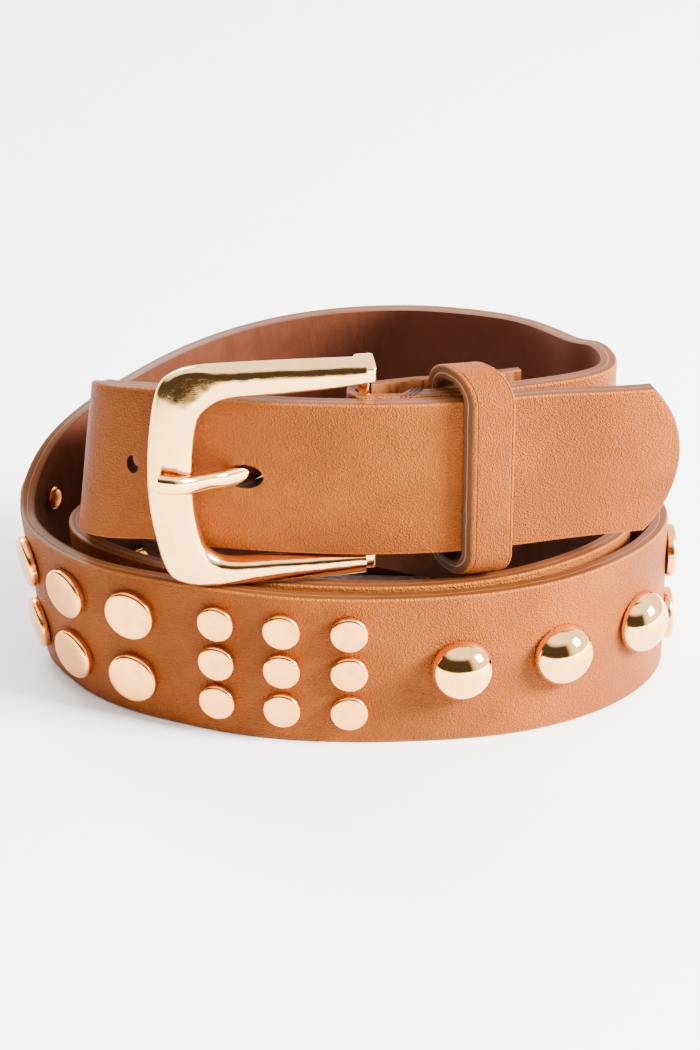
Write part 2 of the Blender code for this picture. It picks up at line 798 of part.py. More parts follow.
def main():
    for old in list(bpy.data.objects):
        bpy.data.objects.remove(old, do_unlink=True)

    tan_leather = material("tan_leather", (0.62, 0.27, 0.12), 0.5, 0.0)
    brown_lining = material("brown_lining", (0.23, 0.07, 0.03), 0.55, 0.0)
    pale_gold = material("pale_gold", (0.93, 0.72, 0.52), 0.12, 1.0)
    rose_gold = material("rose_gold", (0.90, 0.62, 0.44), 0.22, 1.0)

    bar_turn = turn_at(BAR_X)
    end = TIP_RUN[-1].turn
    running = run_sections(bar_turn + 1.0, end)
    rail = Rail(bar_turn, end)
    face_sections = round_tip(fold_sections() + running, rail)
    lining_sections = round_tip(run_sections(turn_at(LINING_START_X), end), rail)
    face = strap_wall("strap_face", face_sections, 0.0, FACE_WALL, 0.0, tan_leather)
    lining = strap_wall(
        "strap_lining", lining_sections, FACE_WALL + GAP, STRAP_THICK, LINING_INSET, brown_lining
    )

    places = stud_places(rail.length_at(FIRST_STUD_TURN))
    prong_hole = rail.length_at(turn_at(PRONG_HOLE_X, 3))
    holes = [(prong_hole, PRONG_HOLE_WIDTH, PRONG_HOLE_HEIGHT)]
    for k in range(1, PUNCH_COUNT):
        holes.append((prong_hole - k * PUNCH_PITCH, PUNCH_WIDTH, PUNCH_HEIGHT))
    cutter = hole_cutter(rail, places, holes)
    boolean(face, cutter, "DIFFERENCE")
    boolean(lining, cutter, "DIFFERENCE")
    boolean(face, slot_cutter(), "DIFFERENCE")

    add_keeper(tan_leather)
    add_buckle_frame(pale_gold)
    add_prong(pale_gold)
    add_studs(rail, places, rose_gold)
    stand_on_axis()


main()
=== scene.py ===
"""Looks of the studded belt: fine leather, edges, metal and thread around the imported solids."""

import math
from collections import namedtuple

import bmesh
import bpy
import numpy as np
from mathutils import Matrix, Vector, kdtree, noise


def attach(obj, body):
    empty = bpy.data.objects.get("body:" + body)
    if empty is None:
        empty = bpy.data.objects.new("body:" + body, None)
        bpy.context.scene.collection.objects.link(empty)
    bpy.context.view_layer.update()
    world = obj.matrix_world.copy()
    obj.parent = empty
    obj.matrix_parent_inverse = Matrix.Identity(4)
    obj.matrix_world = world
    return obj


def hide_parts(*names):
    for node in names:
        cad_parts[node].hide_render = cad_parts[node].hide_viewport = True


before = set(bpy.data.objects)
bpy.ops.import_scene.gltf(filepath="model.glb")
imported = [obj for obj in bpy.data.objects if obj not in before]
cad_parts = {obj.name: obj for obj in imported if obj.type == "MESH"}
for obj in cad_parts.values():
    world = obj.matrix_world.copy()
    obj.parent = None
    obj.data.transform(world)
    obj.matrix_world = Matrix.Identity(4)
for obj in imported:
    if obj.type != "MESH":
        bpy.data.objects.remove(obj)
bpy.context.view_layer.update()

MM = 0.001

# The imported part's place, sizes and route
SHIFT = np.array((0.000893, 0.001950))
# Leather
STRAP_WIDTH = 0.0350
FACE_WALL = 0.0018
LINING_WALL = 0.0014
GAP = 0.0003
# Oval of the coil, measured on the outer face of the floor turn
OVAL_WIDTH = 0.1410
OVAL_DEPTH = 0.0834
FLAP_END_X = 0.0430
LINING_START_X = 0.0120
TIP_ROUND = 0.0070
# Buckle frame
BAR_X = 0.0034
BAR_RADIUS = 0.0016
FRAME_REACH = 0.0460
FRAME_THICK = 0.0046
FRAME_STANDOFF = 0.0024
FRAME_SWING = math.radians(6.5)
ARM_HEIGHT = 0.0060
STRAP_PLAY = 0.0040
EAR_LENGTH = 0.0040
EAR_HEIGHT = 0.0036
EAR_BACK = 0.0017
# Prong
PRONG_WIDTH = 0.0044
PRONG_THICK = 0.0026
PRONG_EYE_WALL = 0.0014
PRONG_RISE = 0.0030
PRONG_SHORT = 0.0018
# Keeper
KEEPER_X = 0.0308
KEEPER_WIDTH = 0.0090
KEEPER_WALL = 0.0030
KEEPER_PLAY = 0.0064
KEEPER_SKEW = 0.55
KEEPER_CORNER = 0.0066
# Punched holes, counted from the one that holds the prong towards the free end of the row
PUNCH_PITCH = 0.0245
PUNCH_COUNT = 5
PUNCH_WIDTH = 0.0027
PUNCH_HEIGHT = 0.0041
PRONG_HOLE_WIDTH = 0.0084
PRONG_HOLE_HEIGHT = 0.0056
PRONG_HOLE_X = -0.0236
# Studs
SHANK_RADIUS = 0.0012
RIVET_RADIUS = 0.0026
BIG_RADIUS = 0.0058
BIG_HEIGHT = 0.0018
SMALL_RADIUS = 0.0041
SMALL_HEIGHT = 0.0016
DOME_RADIUS = 0.0070
DOME_HEIGHT = 0.0056
PAIR_COLUMNS = 4
PAIR_ROW_PITCH = 0.0158
BLOCK_COLUMNS = 3
BLOCK_ROW_PITCH = 0.0096
DOMES_IN_PATTERNS = (3, 2)
FIRST_STUD_TURN = 255.5
# Steps from stud to stud along the strap, which keep to the girth of the coil
GIRTH = math.pi * (OVAL_WIDTH + OVAL_DEPTH) / 2
PAIR_PITCH = 0.04823 * GIRTH
BLOCK_PITCH = 0.04057 * GIRTH
DOME_PITCH = 0.06440 * GIRTH
PAIRS_TO_BLOCK = 0.05617 * GIRTH
BLOCK_TO_DOMES = 0.06809 * GIRTH
DOMES_TO_PAIRS = 0.05532 * GIRTH
STRAP_THICK = FACE_WALL + GAP + LINING_WALL
LAYER = STRAP_THICK + GAP
KEEPER_INSIDE = 2 * STRAP_THICK + 5 * GAP
FOLD_RADIUS = BAR_RADIUS + GAP + FACE_WALL
FRAME_BOTTOM = STRAP_WIDTH + 2 * GAP
UPPER_TIER = FRAME_BOTTOM + ARM_HEIGHT + GAP
FRAME_HEIGHT = 2 * ARM_HEIGHT + STRAP_WIDTH + STRAP_PLAY
UPPER_MIDDLE = UPPER_TIER + STRAP_WIDTH / 2
# The route of the strap, as turn, under, inset, lift and lean.
# turn: degrees round the oval, 0 at the front and 90 at the right.
# under: how many layers of strap lie outside this one. inset: further way in, as a share of
# OVAL_DEPTH. lift: bottom edge, as a share of UPPER_TIER. lean: how far the top edge stands
# further out than the bottom edge, as a share of STRAP_WIDTH.
RAISED_TURN = (
    (3.0, 2, 0.041, 1.00, 0.00),
    (12.0, 2, 0.035, 1.00, 0.00),
    (24.0, 2, 0.027, 1.00, 0.00),
    (37.0, 2, 0.017, 1.00, 0.00),
    (50.0, 2, -0.006, 1.00, 0.00),
    (60.0, 2, -0.002, 1.00, 0.00),
    (69.0, 2, 0.041, 1.00, -0.02),
    (101.0, 0, 0.223, 0.97, -0.09),
    (129.0, 0, 0.178, 0.92, -0.14),
    (146.0, 0, 0.098, 0.88, -0.20),
    (160.0, 0, 0.055, 0.84, -0.20),
    (171.0, 0, 0.022, 0.78, -0.13),
    (184.0, 0, 0.010, 0.73, -0.08),
    (209.0, 0, 0.032, 0.62, -0.03),
    (231.0, 0, 0.036, 0.45, 0.03),
    (250.0, 0, 0.000, 0.24, 0.11),
    (267.0, 0, -0.004, 0.04, 0.13),
)
FLOOR_TURN = (
    (291.0, 0, 0.012, 0.00, 0.12),
    (309.0, 0, 0.009, 0.00, 0.08),
    (326.0, 0, 0.016, 0.00, 0.02),
    (347.0, 0, 0.004, 0.00, 0.00),
    (368.0, 0, -0.004, 0.00, 0.00),
    (395.0, 0, -0.019, 0.00, -0.03),
    (415.0, 0, -0.011, 0.00, -0.04),
    (446.0, 0, 0.005, 0.00, 0.00),
    (466.0, 0, 0.016, 0.00, 0.00),
    (501.0, 0, 0.016, 0.00, 0.00),
    (516.0, 0, 0.045, 0.00, 0.00),
    (531.0, 1, 0.020, 0.00, 0.00),
    (547.0, 1, 0.018, 0.00, 0.00),
    (568.0, 1, 0.068, 0.00, 0.00),
    (586.0, 1, 0.110, 0.00, 0.00),
    (605.0, 1, 0.114, 0.00, 0.00),
    (622.0, 1, 0.095, 0.00, 0.03),
    (639.0, 1, 0.068, 0.00, 0.07),
)
INNER_TURN = (
    (651.5, 1, 0.053, 0.00, 0.09),
    (658.0, 1, 0.051, 0.00, 0.09),
    (673.0, 1, 0.047, 0.00, 0.06),
    (686.0, 1, 0.036, 0.00, 0.03),
    (716.0, 1, 0.022, 0.00, 0.00),
    (743.0, 1, 0.008, 0.00, 0.00),
    (769.0, 1, 0.025, 0.00, 0.00),
    (795.0, 1, 0.044, 0.00, 0.00),
    (818.0, 2, 0.043, 0.00, 0.00),
    (844.0, 2, 0.047, 0.00, 0.00),
    (863.0, 2, 0.030, 0.01, 0.00),
    (879.0, 2, 0.034, 0.05, 0.00),
    (893.0, 2, 0.046, 0.12, 0.00),
    (907.0, 2, 0.056, 0.20, 0.00),
    (921.0, 2, 0.068, 0.29, 0.00),
    (934.0, 2, 0.098, 0.38, 0.00),
    (949.0, 2, 0.124, 0.49, 0.00),
    (966.0, 2, 0.133, 0.61, 0.00),
    (984.0, 2, 0.118, 0.71, -0.04),
    (1005.0, 2, 0.073, 0.80, -0.08),
    (1014.5, 2, 0.025, 0.88, -0.10),
    (1020.5, 1, 0.027, 0.93, -0.12),
)
TIP_RUN = (
    (1027.0, 1, 0.005, 0.96, -0.10),
    (1034.0, 1, 0.010, 0.98, -0.06),
    (1042.0, 1, 0.025, 1.00, -0.03),
    (1050.0, 1, 0.031, 1.00, -0.02),
    (1064.0, 1, 0.038, 1.00, 0.00),
    (1077.0, 1, 0.040, 1.00, 0.00),
    (1092.0, 1, 0.032, 1.00, 0.00),
    (1104.0, 1, 0.024, 1.00, 0.00),
    (1117.0, 1, 0.006, 1.00, 0.02),
    (1128.5, 1, -0.040, 1.00, 0.07),
    (1138.5, 1, -0.104, 1.00, 0.09),
    (1144.0, 1, -0.144, 1.00, 0.10),
)
ROUTE = RAISED_TURN + FLOOR_TURN + INNER_TURN + TIP_RUN
END_TURN = TIP_RUN[-1][0]
RAIL_POINTS = 1600
# Outline of the buckle frame from the upper arm's end round to the lower arm's end.
# Along: share of FRAME_REACH from the hinge bar. High: share of half FRAME_HEIGHT.
Outline = namedtuple("Outline", "outer_along outer_high inner_along inner_high")
FRAME_OUTLINE = (
    Outline(0.010, 0.975, 0.010, 0.770),
    Outline(0.110, 0.980, 0.110, 0.750),
    Outline(0.350, 0.990, 0.350, 0.725),
    Outline(0.620, 0.995, 0.600, 0.710),
    Outline(0.790, 0.985, 0.690, 0.670),
    Outline(0.890, 0.925, 0.745, 0.590),
    Outline(0.950, 0.780, 0.770, 0.460),
    Outline(0.985, 0.450, 0.785, 0.250),
    Outline(1.000, 0.070, 0.790, 0.030),
    Outline(0.995, -0.250, 0.785, -0.250),
    Outline(0.970, -0.550, 0.765, -0.480),
    Outline(0.920, -0.860, 0.735, -0.640),
    Outline(0.850, -0.965, 0.680, -0.730),
    Outline(0.760, -1.000, 0.600, -0.765),
    Outline(0.560, -1.000, 0.450, -0.770),
    Outline(0.350, -0.995, 0.300, -0.770),
    Outline(0.110, -0.980, 0.110, -0.770),
    Outline(0.010, -0.970, 0.010, -0.770),
)

# Fine shapes of the leather
FACE_CORNER = 0.00050
BACK_CORNER = 0.00030
# The plies bulge past the edge, and the glue line between them lies back from it
PLY_SWELL = 0.00004
BACK_PLY_SWELL = 0.00003
GLUE_SINK = 0.00006
RIPPLE = 0.00010
FACE_COLUMNS = 9
FINE_STEP = 0.0016
# Degrees round the oval: steps of the search for sections, and from the bar to the first one
TURN_STEP = 0.1
PAST_BAR = 1.0
# Only this many first sections can be ones where the lining hasn't begun
SECTIONS_BY_BAR = 60
FLAP_STATIONS = 5
FOLD_DEGREES = 9
TIP_SHARES = (1.0, 0.9, 0.8, 0.7, 0.6, 0.5, 0.4, 0.3, 0.2, 0.1, 0.04, 0.012)
HOLE_SIDES = 32
CORNER_STEPS = 14
KEEPER_STEP = 0.002
# Added to the keeper's run in millimetres, so that its grain differs from the strap's
KEEPER_RUN = 500.0
# Distance that keeps the weights finite where two points are the same
SAME_POINT = 1e-7
THREAD_RADIUS = 0.00017
THREAD_SIDES = 8
THREAD_SLANT = 0.8
THREAD_PLACES = (0.0132, 0.0143, 0.0154)

# Fine shapes of the metal
SHARP_ABOVE = math.radians(40)
STUD_SHARP_ABOVE = math.radians(50)
FRAME_RINGS = 150
EAR_BEVEL = 0.0006
BAR_SIDES = 28
PRONG_RINGS = 90
PRONG_SIDES = 28
PRONG_END = 0.0004
# Place in prong_route of the point where the prong has come out of its hole
PRONG_OUTSIDE = 6
EYE_RINGS = 40
EYE_SIDES = 16
EYE_SQUARE = 0.6
STUD_SIDES = 40
# Section of the frame from its flat back round the inner side, over the crown, to the outer
# side. Across: share of the way from the inner to the outer outline. Proud: share of
# FRAME_THICK. The last two are the same point where the broad side turns into the upper arm.
CROWN = (
    (0.50, 0.00, 0.50, 0.00),
    (0.14, 0.01, 0.14, 0.01),
    (0.03, 0.10, 0.03, 0.10),
    (0.00, 0.30, 0.00, 0.30),
    (0.00, 0.52, 0.00, 0.52),
    (0.04, 0.76, 0.03, 0.78),
    (0.14, 0.93, 0.10, 0.94),
    (0.32, 1.00, 0.22, 0.99),
    (0.56, 0.99, 0.38, 0.95),
    (0.80, 0.88, 0.80, 0.66),
    (0.93, 0.72, 0.94, 0.54),
    (0.99, 0.52, 0.99, 0.40),
    (1.00, 0.30, 1.00, 0.25),
    (0.97, 0.10, 0.97, 0.10),
    (0.86, 0.01, 0.86, 0.01),
)
# Rows of FRAME_OUTLINE where that change of the crown starts, is whole and has gone again
CORNER_ROWS = (3.0, 4.6, 7.2)
# Section of the prong, as degrees, front and high: a flat front, a broad facet above it and
# a round back.
PRONG_FACETS = (
    (0, 0.98, -0.30),
    (20, 1.00, -0.05),
    (38, 0.90, 0.22),
    (62, 0.52, 0.72),
    (85, 0.10, 0.96),
    (110, -0.40, 0.90),
    (145, -0.88, 0.52),
    (180, -1.00, 0.00),
    (215, -0.88, -0.52),
    (250, -0.40, -0.92),
    (285, 0.20, -0.98),
    (325, 0.80, -0.70),
    (360, 0.98, -0.30),
)

# Looks. Places on the leather are in millimetres, and GRAIN_DEPTH is in metres.
LEATHER_LIGHT = (0.208, 0.0480, 0.0042)
LEATHER_DEEP = (0.150, 0.0325, 0.0033)
# Painted shade: a darker colour laid into the grain's creases and into the crease line along the
# edges
LEATHER_CREASE_SHADE = (0.110, 0.023, 0.0018)
# Painted highlight: light specks of glint on the grain and a light line along the face's edges
LEATHER_PAINTED_GLINT = (0.300, 0.0900, 0.0100)
SHEEN_TINT = (1.0, 0.66, 0.34)
FACE_ROUGHNESS = (0.40, 0.56)
EDGE_ROUGHNESS = 0.42
LINING_ROUGHNESS = 0.62
PEBBLES_PER_MM = 2.6
FINE_GRAIN_PER_MM = 4.2
CREASES_PER_MM = 1.5
TONES_PER_MM = 0.045
GRAIN_DEPTH = 0.00034
GRAIN_STRENGTH = 0.9
CREASE_INSET = 0.85
EDGE_STARTS = (0.22, 0.42)
EDGE_LIGHT = (0.104, 0.029, 0.0072)
EDGE_DARK = (0.058, 0.0145, 0.0040)
EDGE_GLUE = (0.22, 0.08, 0.028)
GLUE_DEPTH = 2.0
GLUE_WAVE = 0.5
LINING_STARTS = (3.15, 3.32)
# Lining tones: LINING_DARK is painted shade in the valleys of the lining's creases, LINING_LIGHT
# painted light on their crests
LINING_DARK = (0.060, 0.0155, 0.0078)
LINING_LIGHT = (0.078, 0.0215, 0.0108)
LINING_WARM = (0.094, 0.0270, 0.0135)
# Painted light: a pale lining tone near the buckle, where the lining shows lit
LINING_LIT_BY_BUCKLE = (0.165, 0.052, 0.0290)
# Millimetres from the flap's end over which the lining goes from its painted lit, pale tone to dark
LINING_FADE = (160.0, 205.0)
KEEPER_EDGE_LIGHT = (0.105, 0.044, 0.020)
KEEPER_EDGE_DARK = (0.060, 0.024, 0.012)
KEEPER_EDGE_GLUE = (0.34, 0.17, 0.085)
# Painted shade: near-black colours for the walls inside the punched holes
HOLE_DARK = (0.012, 0.005, 0.003)
HOLE_LIGHT = (0.060, 0.022, 0.010)
THREAD_DARK = (0.022, 0.006, 0.003)
THREAD_LIGHT = (0.065, 0.020, 0.008)
GOLD = (1.0, 0.61, 0.22)
GOLD_WARM = (0.97, 0.53, 0.17)
ROSE = (0.98, 0.445, 0.115)
ROSE_WARM = (0.84, 0.36, 0.11)

# Floor, light and camera
FLOOR_COLOUR = (0.90, 0.90, 0.90)
FLOOR_HALF = 12.0
FLOOR_DROP = 0.0002
LAMP_AIM = (0.0, 0.0, 0.03)
WORLD_LIGHT = (2.7, 2.7, 2.7)
WORLD_DARK = (0.10, 0.085, 0.08)
DARK_SIDE = (-0.56, -0.83, 0.0)
# How much a direction points to the dark side, and up, from no dark to all of it
DARK_FACING = (0.05, 0.45)
DARK_HEIGHT = (0.82, 0.55)
CAMERA_ELEVATION = math.radians(28.0)
CAMERA_DISTANCE = 0.800
CAMERA_AIM = np.array((SHIFT[0], 0.0576 + SHIFT[1], 0.0))
SENSOR_HEIGHT = 36.0
PHOTO_HEIGHT_PIXELS = 1050
PHOTO_FOCAL_PIXELS = 3320


def tube(shape, rings, closed=False):
    """Skins a row of rings that hold the same number of points, with flat ends unless closed."""
    rows = [[shape.verts.new(point) for point in ring] for ring in rings]
    sides = len(rows[0])
    ends = len(rows) if closed else len(rows) - 1
    for i in range(ends):
        near, far = rows[i], rows[(i + 1) % len(rows)]
        for k in range(sides):
            m = (k + 1) % sides
            shape.faces.new((near[k], near[m], far[m], far[k]))
    if not closed:
        shape.faces.new(rows[0])
        shape.faces.new(rows[-1])


def circle(sides):
    """Cosine and sine of equal steps round a circle."""
    angles = [2 * math.pi * k / sides for k in range(sides)]
    return [(math.cos(angle), math.sin(angle)) for angle in angles]


class Spline:
    """Smooth curves through the columns of a table, with the first column as the place."""

    def __init__(self, rows):
        self.table = np.array(rows, float)
        x, y = self.table[:, 0], self.table[:, 1:]
        step = np.diff(x)
        slope = np.diff(y, axis=0) / step[:, None]
        count = len(x)
        system = np.zeros((count, count))
        right = np.zeros_like(y)
        system[0, 0] = system[-1, -1] = 1.0
        for i in range(1, count - 1):
            system[i, i - 1] = step[i - 1]
            system[i, i] = 2 * (step[i - 1] + step[i])
            system[i, i + 1] = step[i]
            right[i] = 3 * (slope[i] - slope[i - 1])
        self.bend = np.linalg.solve(system, right)
        self.slope = slope
        self.step = step

    def __call__(self, place):
        x, y = self.table[:, 0], self.table[:, 1:]
        i = int(np.clip(np.searchsorted(x, place) - 1, 0, len(x) - 2))
        h, t = self.step[i], place - x[i]
        b, c = self.bend[i], self.bend[i + 1]
        first = self.slope[i] - h * (2 * b + c) / 3
        return y[i] + t * (first + t * (b + t * (c - b) / (3 * h)))


class Section:
    """One upright section of the strap: a point on its outer face halfway up, the way it
    runs, the way out of the oval, its lower and upper edge and its lean."""

    def __init__(self, middle, along, bottom, top, lean):
        self.middle = np.array(middle, float)
        self.along = np.array(along, float) / np.hypot(*along)
        self.out = np.array((self.along[1], -self.along[0]))
        self.bottom = bottom
        self.top = top
        self.lean = lean

    def point(self, depth, height):
        """A point so far behind the outer face, at a share of the height from the bottom."""
        place = self.middle + self.out * (self.lean * (height - 0.5) - depth)
        return np.array((*place, self.bottom + (self.top - self.bottom) * height))


ROUTE_SPLINE = Spline(ROUTE)
FACETS = Spline(PRONG_FACETS)


def oval(turn):
    """Point and outward direction of the oval at so many degrees from its front."""
    angle = math.radians(turn)
    half_wide, half_deep = OVAL_WIDTH / 2, OVAL_DEPTH / 2
    point = np.array((half_wide * math.sin(angle), -half_deep * math.cos(angle)))
    out = np.array((half_deep * math.sin(angle), -half_wide * math.cos(angle)))
    return point, out / np.hypot(*out)


def turn_at(x, turns=0):
    """Degrees at which the front of the oval passes a given x."""
    return 360.0 * turns + math.degrees(math.asin(x / (OVAL_WIDTH / 2)))


def route_depth(turn):
    under, inset, _, _ = ROUTE_SPLINE(turn)
    return under * LAYER + inset * OVAL_DEPTH


def route_middle(turn):
    point, out = oval(turn)
    return point - out * route_depth(turn)


def route_section(turn):
    """The strap's section at one place of the route table."""
    small = 0.05
    along = route_middle(turn + small) - route_middle(turn - small)
    _, _, lift, lean = ROUTE_SPLINE(turn)
    bottom = max(lift, 0.0) * UPPER_TIER
    lean *= STRAP_WIDTH
    return Section(
        route_middle(turn), along, bottom, bottom + math.sqrt(STRAP_WIDTH**2 - lean**2), lean
    )


def bar_centre():
    """The hinge bar's axis lies behind the tip, inside the fold of the strap's other end."""
    turn = turn_at(BAR_X)
    point, out = oval(turn)
    return point - out * (route_depth(turn) + FOLD_RADIUS), out


def fold_sections():
    """The flap behind the keeper, and the fold round the hinge bar, with close sections."""
    centre, out = bar_centre()
    along = np.array((-out[1], out[0]))
    top = UPPER_TIER + STRAP_WIDTH
    behind = KEEPER_INSIDE + KEEPER_WALL - LAYER + GAP + FACE_WALL
    keeper_behind_x = KEEPER_X - KEEPER_SKEW * (2 * STRAP_THICK + KEEPER_WALL) - KEEPER_WIDTH
    flap = []
    for share in np.linspace(0.0, 1.0, FLAP_STATIONS):
        x = FLAP_END_X + share * (keeper_behind_x - FLAP_END_X)
        turn = turn_at(x)
        point, way = oval(turn)
        middle = point - way * (route_depth(turn) + behind)
        flap.append(Section(middle, (way[1], -way[0]), UPPER_TIER, top, 0.0))
    sections = []
    for one, two in zip(flap, flap[1:]):
        for share in (0.0, 0.25, 0.5, 0.75):
            middle = one.middle * (1 - share) + two.middle * share
            way = one.along * (1 - share) + two.along * share
            sections.append(Section(middle, way, UPPER_TIER, top, 0.0))
    sections.append(flap[-1])
    for degrees in range(0, 181, FOLD_DEGREES):
        angle = math.radians(degrees)
        way = -out * math.cos(angle) - along * math.sin(angle)
        middle = centre + way * FOLD_RADIUS
        sections.append(Section(middle, (-way[1], way[0]), UPPER_TIER, top, 0.0))
    return sections


class Rail:
    """The strap's outer face by length, from the hinge bar."""

    def __init__(self, start, end):
        self.turns = np.linspace(start, end, RAIL_POINTS)
        middles = np.array([route_middle(turn) for turn in self.turns])
        steps = np.hypot(*np.diff(middles, axis=0).T)
        self.lengths = np.concatenate(([0.0], np.cumsum(steps)))

    def length_at(self, turn):
        return float(np.interp(turn, self.turns, self.lengths))

    def section(self, length):
        return route_section(float(np.interp(length, self.lengths, self.turns)))


def seat(section, high):
    """Origin and axes on the outer face: along the strap, up its width and out of it."""
    share = 0.5 + high / STRAP_WIDTH
    origin = section.point(0.0, share)
    up = section.point(0.0, 1.0) - section.point(0.0, 0.0)
    up /= np.linalg.norm(up)
    along = np.array((*section.along, 0.0))
    out = np.cross(along, up)
    return origin, along, up, out / np.linalg.norm(out)


def turned(shape, place, profile, sides):
    """Turns a profile of (radius, height) about the seat's outward axis."""
    origin, along, up, out = place
    rings = []
    for radius, height in profile:
        ring = []
        for c, s in circle(sides):
            ring.append(origin + (along * c + up * s) * radius + out * height)
        rings.append(ring)
    tube(shape, rings)


StudPlace = namedtuple("StudPlace", "kind length high")


def stud_places(first):
    """Pairs, then a block of three by three, then domes, along the strap."""
    places = []
    length = first
    for domes in DOMES_IN_PATTERNS:
        for column in range(PAIR_COLUMNS):
            for high in (PAIR_ROW_PITCH / 2, -PAIR_ROW_PITCH / 2):
                places.append(StudPlace("big_stud", length + column * PAIR_PITCH, high))
        length += (PAIR_COLUMNS - 1) * PAIR_PITCH + PAIRS_TO_BLOCK
        for column in range(BLOCK_COLUMNS):
            for row in (1, 0, -1):
                high = row * BLOCK_ROW_PITCH
                places.append(StudPlace("small_stud", length + column * BLOCK_PITCH, high))
        length += (BLOCK_COLUMNS - 1) * BLOCK_PITCH + BLOCK_TO_DOMES
        for column in range(domes):
            places.append(StudPlace("dome_stud", length + column * DOME_PITCH, 0.0))
        length += (domes - 1) * DOME_PITCH + DOMES_TO_PAIRS
    return places


class FrameAxes:
    """The buckle frame's own axes: from the bar towards the free side, up, and to the front."""

    def __init__(self):
        centre, out = bar_centre()
        turn = FRAME_SWING
        away = np.array((out[1], -out[0]))
        self.away = away * math.cos(turn) + out * math.sin(turn)
        self.front = out * math.cos(turn) - away * math.sin(turn)
        self.centre = centre
        self.middle = FRAME_BOTTOM + FRAME_HEIGHT / 2

    def point(self, along, high, proud):
        flat = self.centre + self.away * along + self.front * proud
        return np.array((*flat, self.middle + high))


def prong_route(axes):
    """Middle line of the prong, in plan: from the eye, behind the tip, out through its hole
    and on to the broad side of the frame."""
    centre, out = bar_centre()
    along = np.array((-out[1], out[0]))
    behind = FOLD_RADIUS - PRONG_THICK / 2 - GAP
    hole_turn = turn_at(PRONG_HOLE_X, 3)
    hole = route_section(hole_turn)
    halfway = route_section(turn_at(PRONG_HOLE_X / 2, 3))
    half_hole = PRONG_HOLE_WIDTH / 2
    inside = hole.middle - hole.out * (STRAP_THICK + PRONG_THICK * 0.8) + hole.along * half_hole
    outside = hole.middle + hole.out * PRONG_THICK * 0.8 - hole.along * half_hole
    rest = FRAME_STANDOFF + FRAME_THICK + PRONG_THICK / 2 + GAP
    broad_side = max(FRAME_OUTLINE, key=lambda row: row.outer_along)
    side_in = broad_side.inner_along * FRAME_REACH
    side_out = broad_side.outer_along * FRAME_REACH
    over = axes.point(side_in, 0.0, rest * 0.78)[:2]
    flat_start = axes.point(side_in + (side_out - side_in) * 0.4, 0.0, rest)[:2]
    return [
        centre + out * behind * 0.4 - along * BAR_RADIUS * 1.6,
        centre + out * behind * 0.62 - along * FOLD_RADIUS * 1.6,
        halfway.middle - halfway.out * (STRAP_THICK + PRONG_THICK),
        inside + hole.along * PRONG_THICK - hole.out * PRONG_THICK * 0.2,
        inside,
        hole.middle - hole.out * STRAP_THICK / 2,
        outside,
        over,
        flat_start,
        axes.point(side_out - PRONG_SHORT, 0.0, rest)[:2],
    ]


def rounded_loop(depth, height, corner, per_corner):
    """Points round a rectangle with round corners, as (depth, height) from its middle."""
    points = []
    for quarter, (sx, sz) in enumerate(((1, 1), (-1, 1), (-1, -1), (1, -1))):
        for k in range(per_corner + 1):
            angle = math.pi / 2 * (quarter + k / per_corner)
            deep = sx * (depth / 2 - corner) + corner * math.cos(angle)
            high = sz * (height / 2 - corner) + corner * math.sin(angle)
            points.append((deep, high))
    return points


def ripple(run, high):
    """Slow unevenness of the hide, from the length and height in millimetres."""
    slow = noise.noise(Vector((run * 0.045, high * 0.05, 3.0)))
    quick = noise.noise(Vector((run * 0.13, high * 0.11, 9.0)))
    return RIPPLE * (slow + 0.5 * quick)


def link(name, data):
    made = bpy.data.objects.new(name, data)
    bpy.context.scene.collection.objects.link(made)
    return made


def new_object(name, shape, look):
    """An object from a bmesh in the route's coordinates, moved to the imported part's place."""
    mesh = bpy.data.meshes.new(name)
    bmesh.ops.recalc_face_normals(shape, faces=shape.faces)
    bmesh.ops.translate(shape, verts=shape.verts, vec=(SHIFT[0], SHIFT[1], 0.0))
    shape.to_mesh(mesh)
    shape.free()
    mesh.materials.append(look)
    return link(name, mesh)


def add_piece(name, shape, look, nodes, attribute=None, sharp_above=SHARP_ABOVE):
    """A shown object that rides on the belt's one body."""
    made = new_object(name, shape, look)
    made.data.shade_smooth()
    made.data.set_sharp_from_angle(angle=sharp_above)
    if attribute is not None:
        layer = made.data.attributes.new("strap", "FLOAT_VECTOR", "POINT")
        layer.data.foreach_set("vector", np.array(attribute, float).ravel())
    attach(made, "root")
    if nodes:
        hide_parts(*nodes)
    return made


def cutter_object(name, shape, look):
    """A cutter, never shown."""
    made = new_object(name, shape, look)
    made.hide_render = True
    made.hide_set(True)
    return made


def cut(target, cutter):
    """Cuts the cutter out of the target for good, so that no helper is left behind."""
    step = target.modifiers.new("cut", "BOOLEAN")
    step.operation = "DIFFERENCE"
    step.solver = "EXACT"
    step.material_mode = "TRANSFER"
    step.object = cutter
    bpy.context.view_layer.update()
    graph = bpy.context.evaluated_depsgraph_get()
    mesh = bpy.data.meshes.new_from_object(target.evaluated_get(graph))
    target.modifiers.clear()
    carry_attribute(target.data, mesh)
    target.data = mesh
    bpy.data.objects.remove(cutter, do_unlink=True)


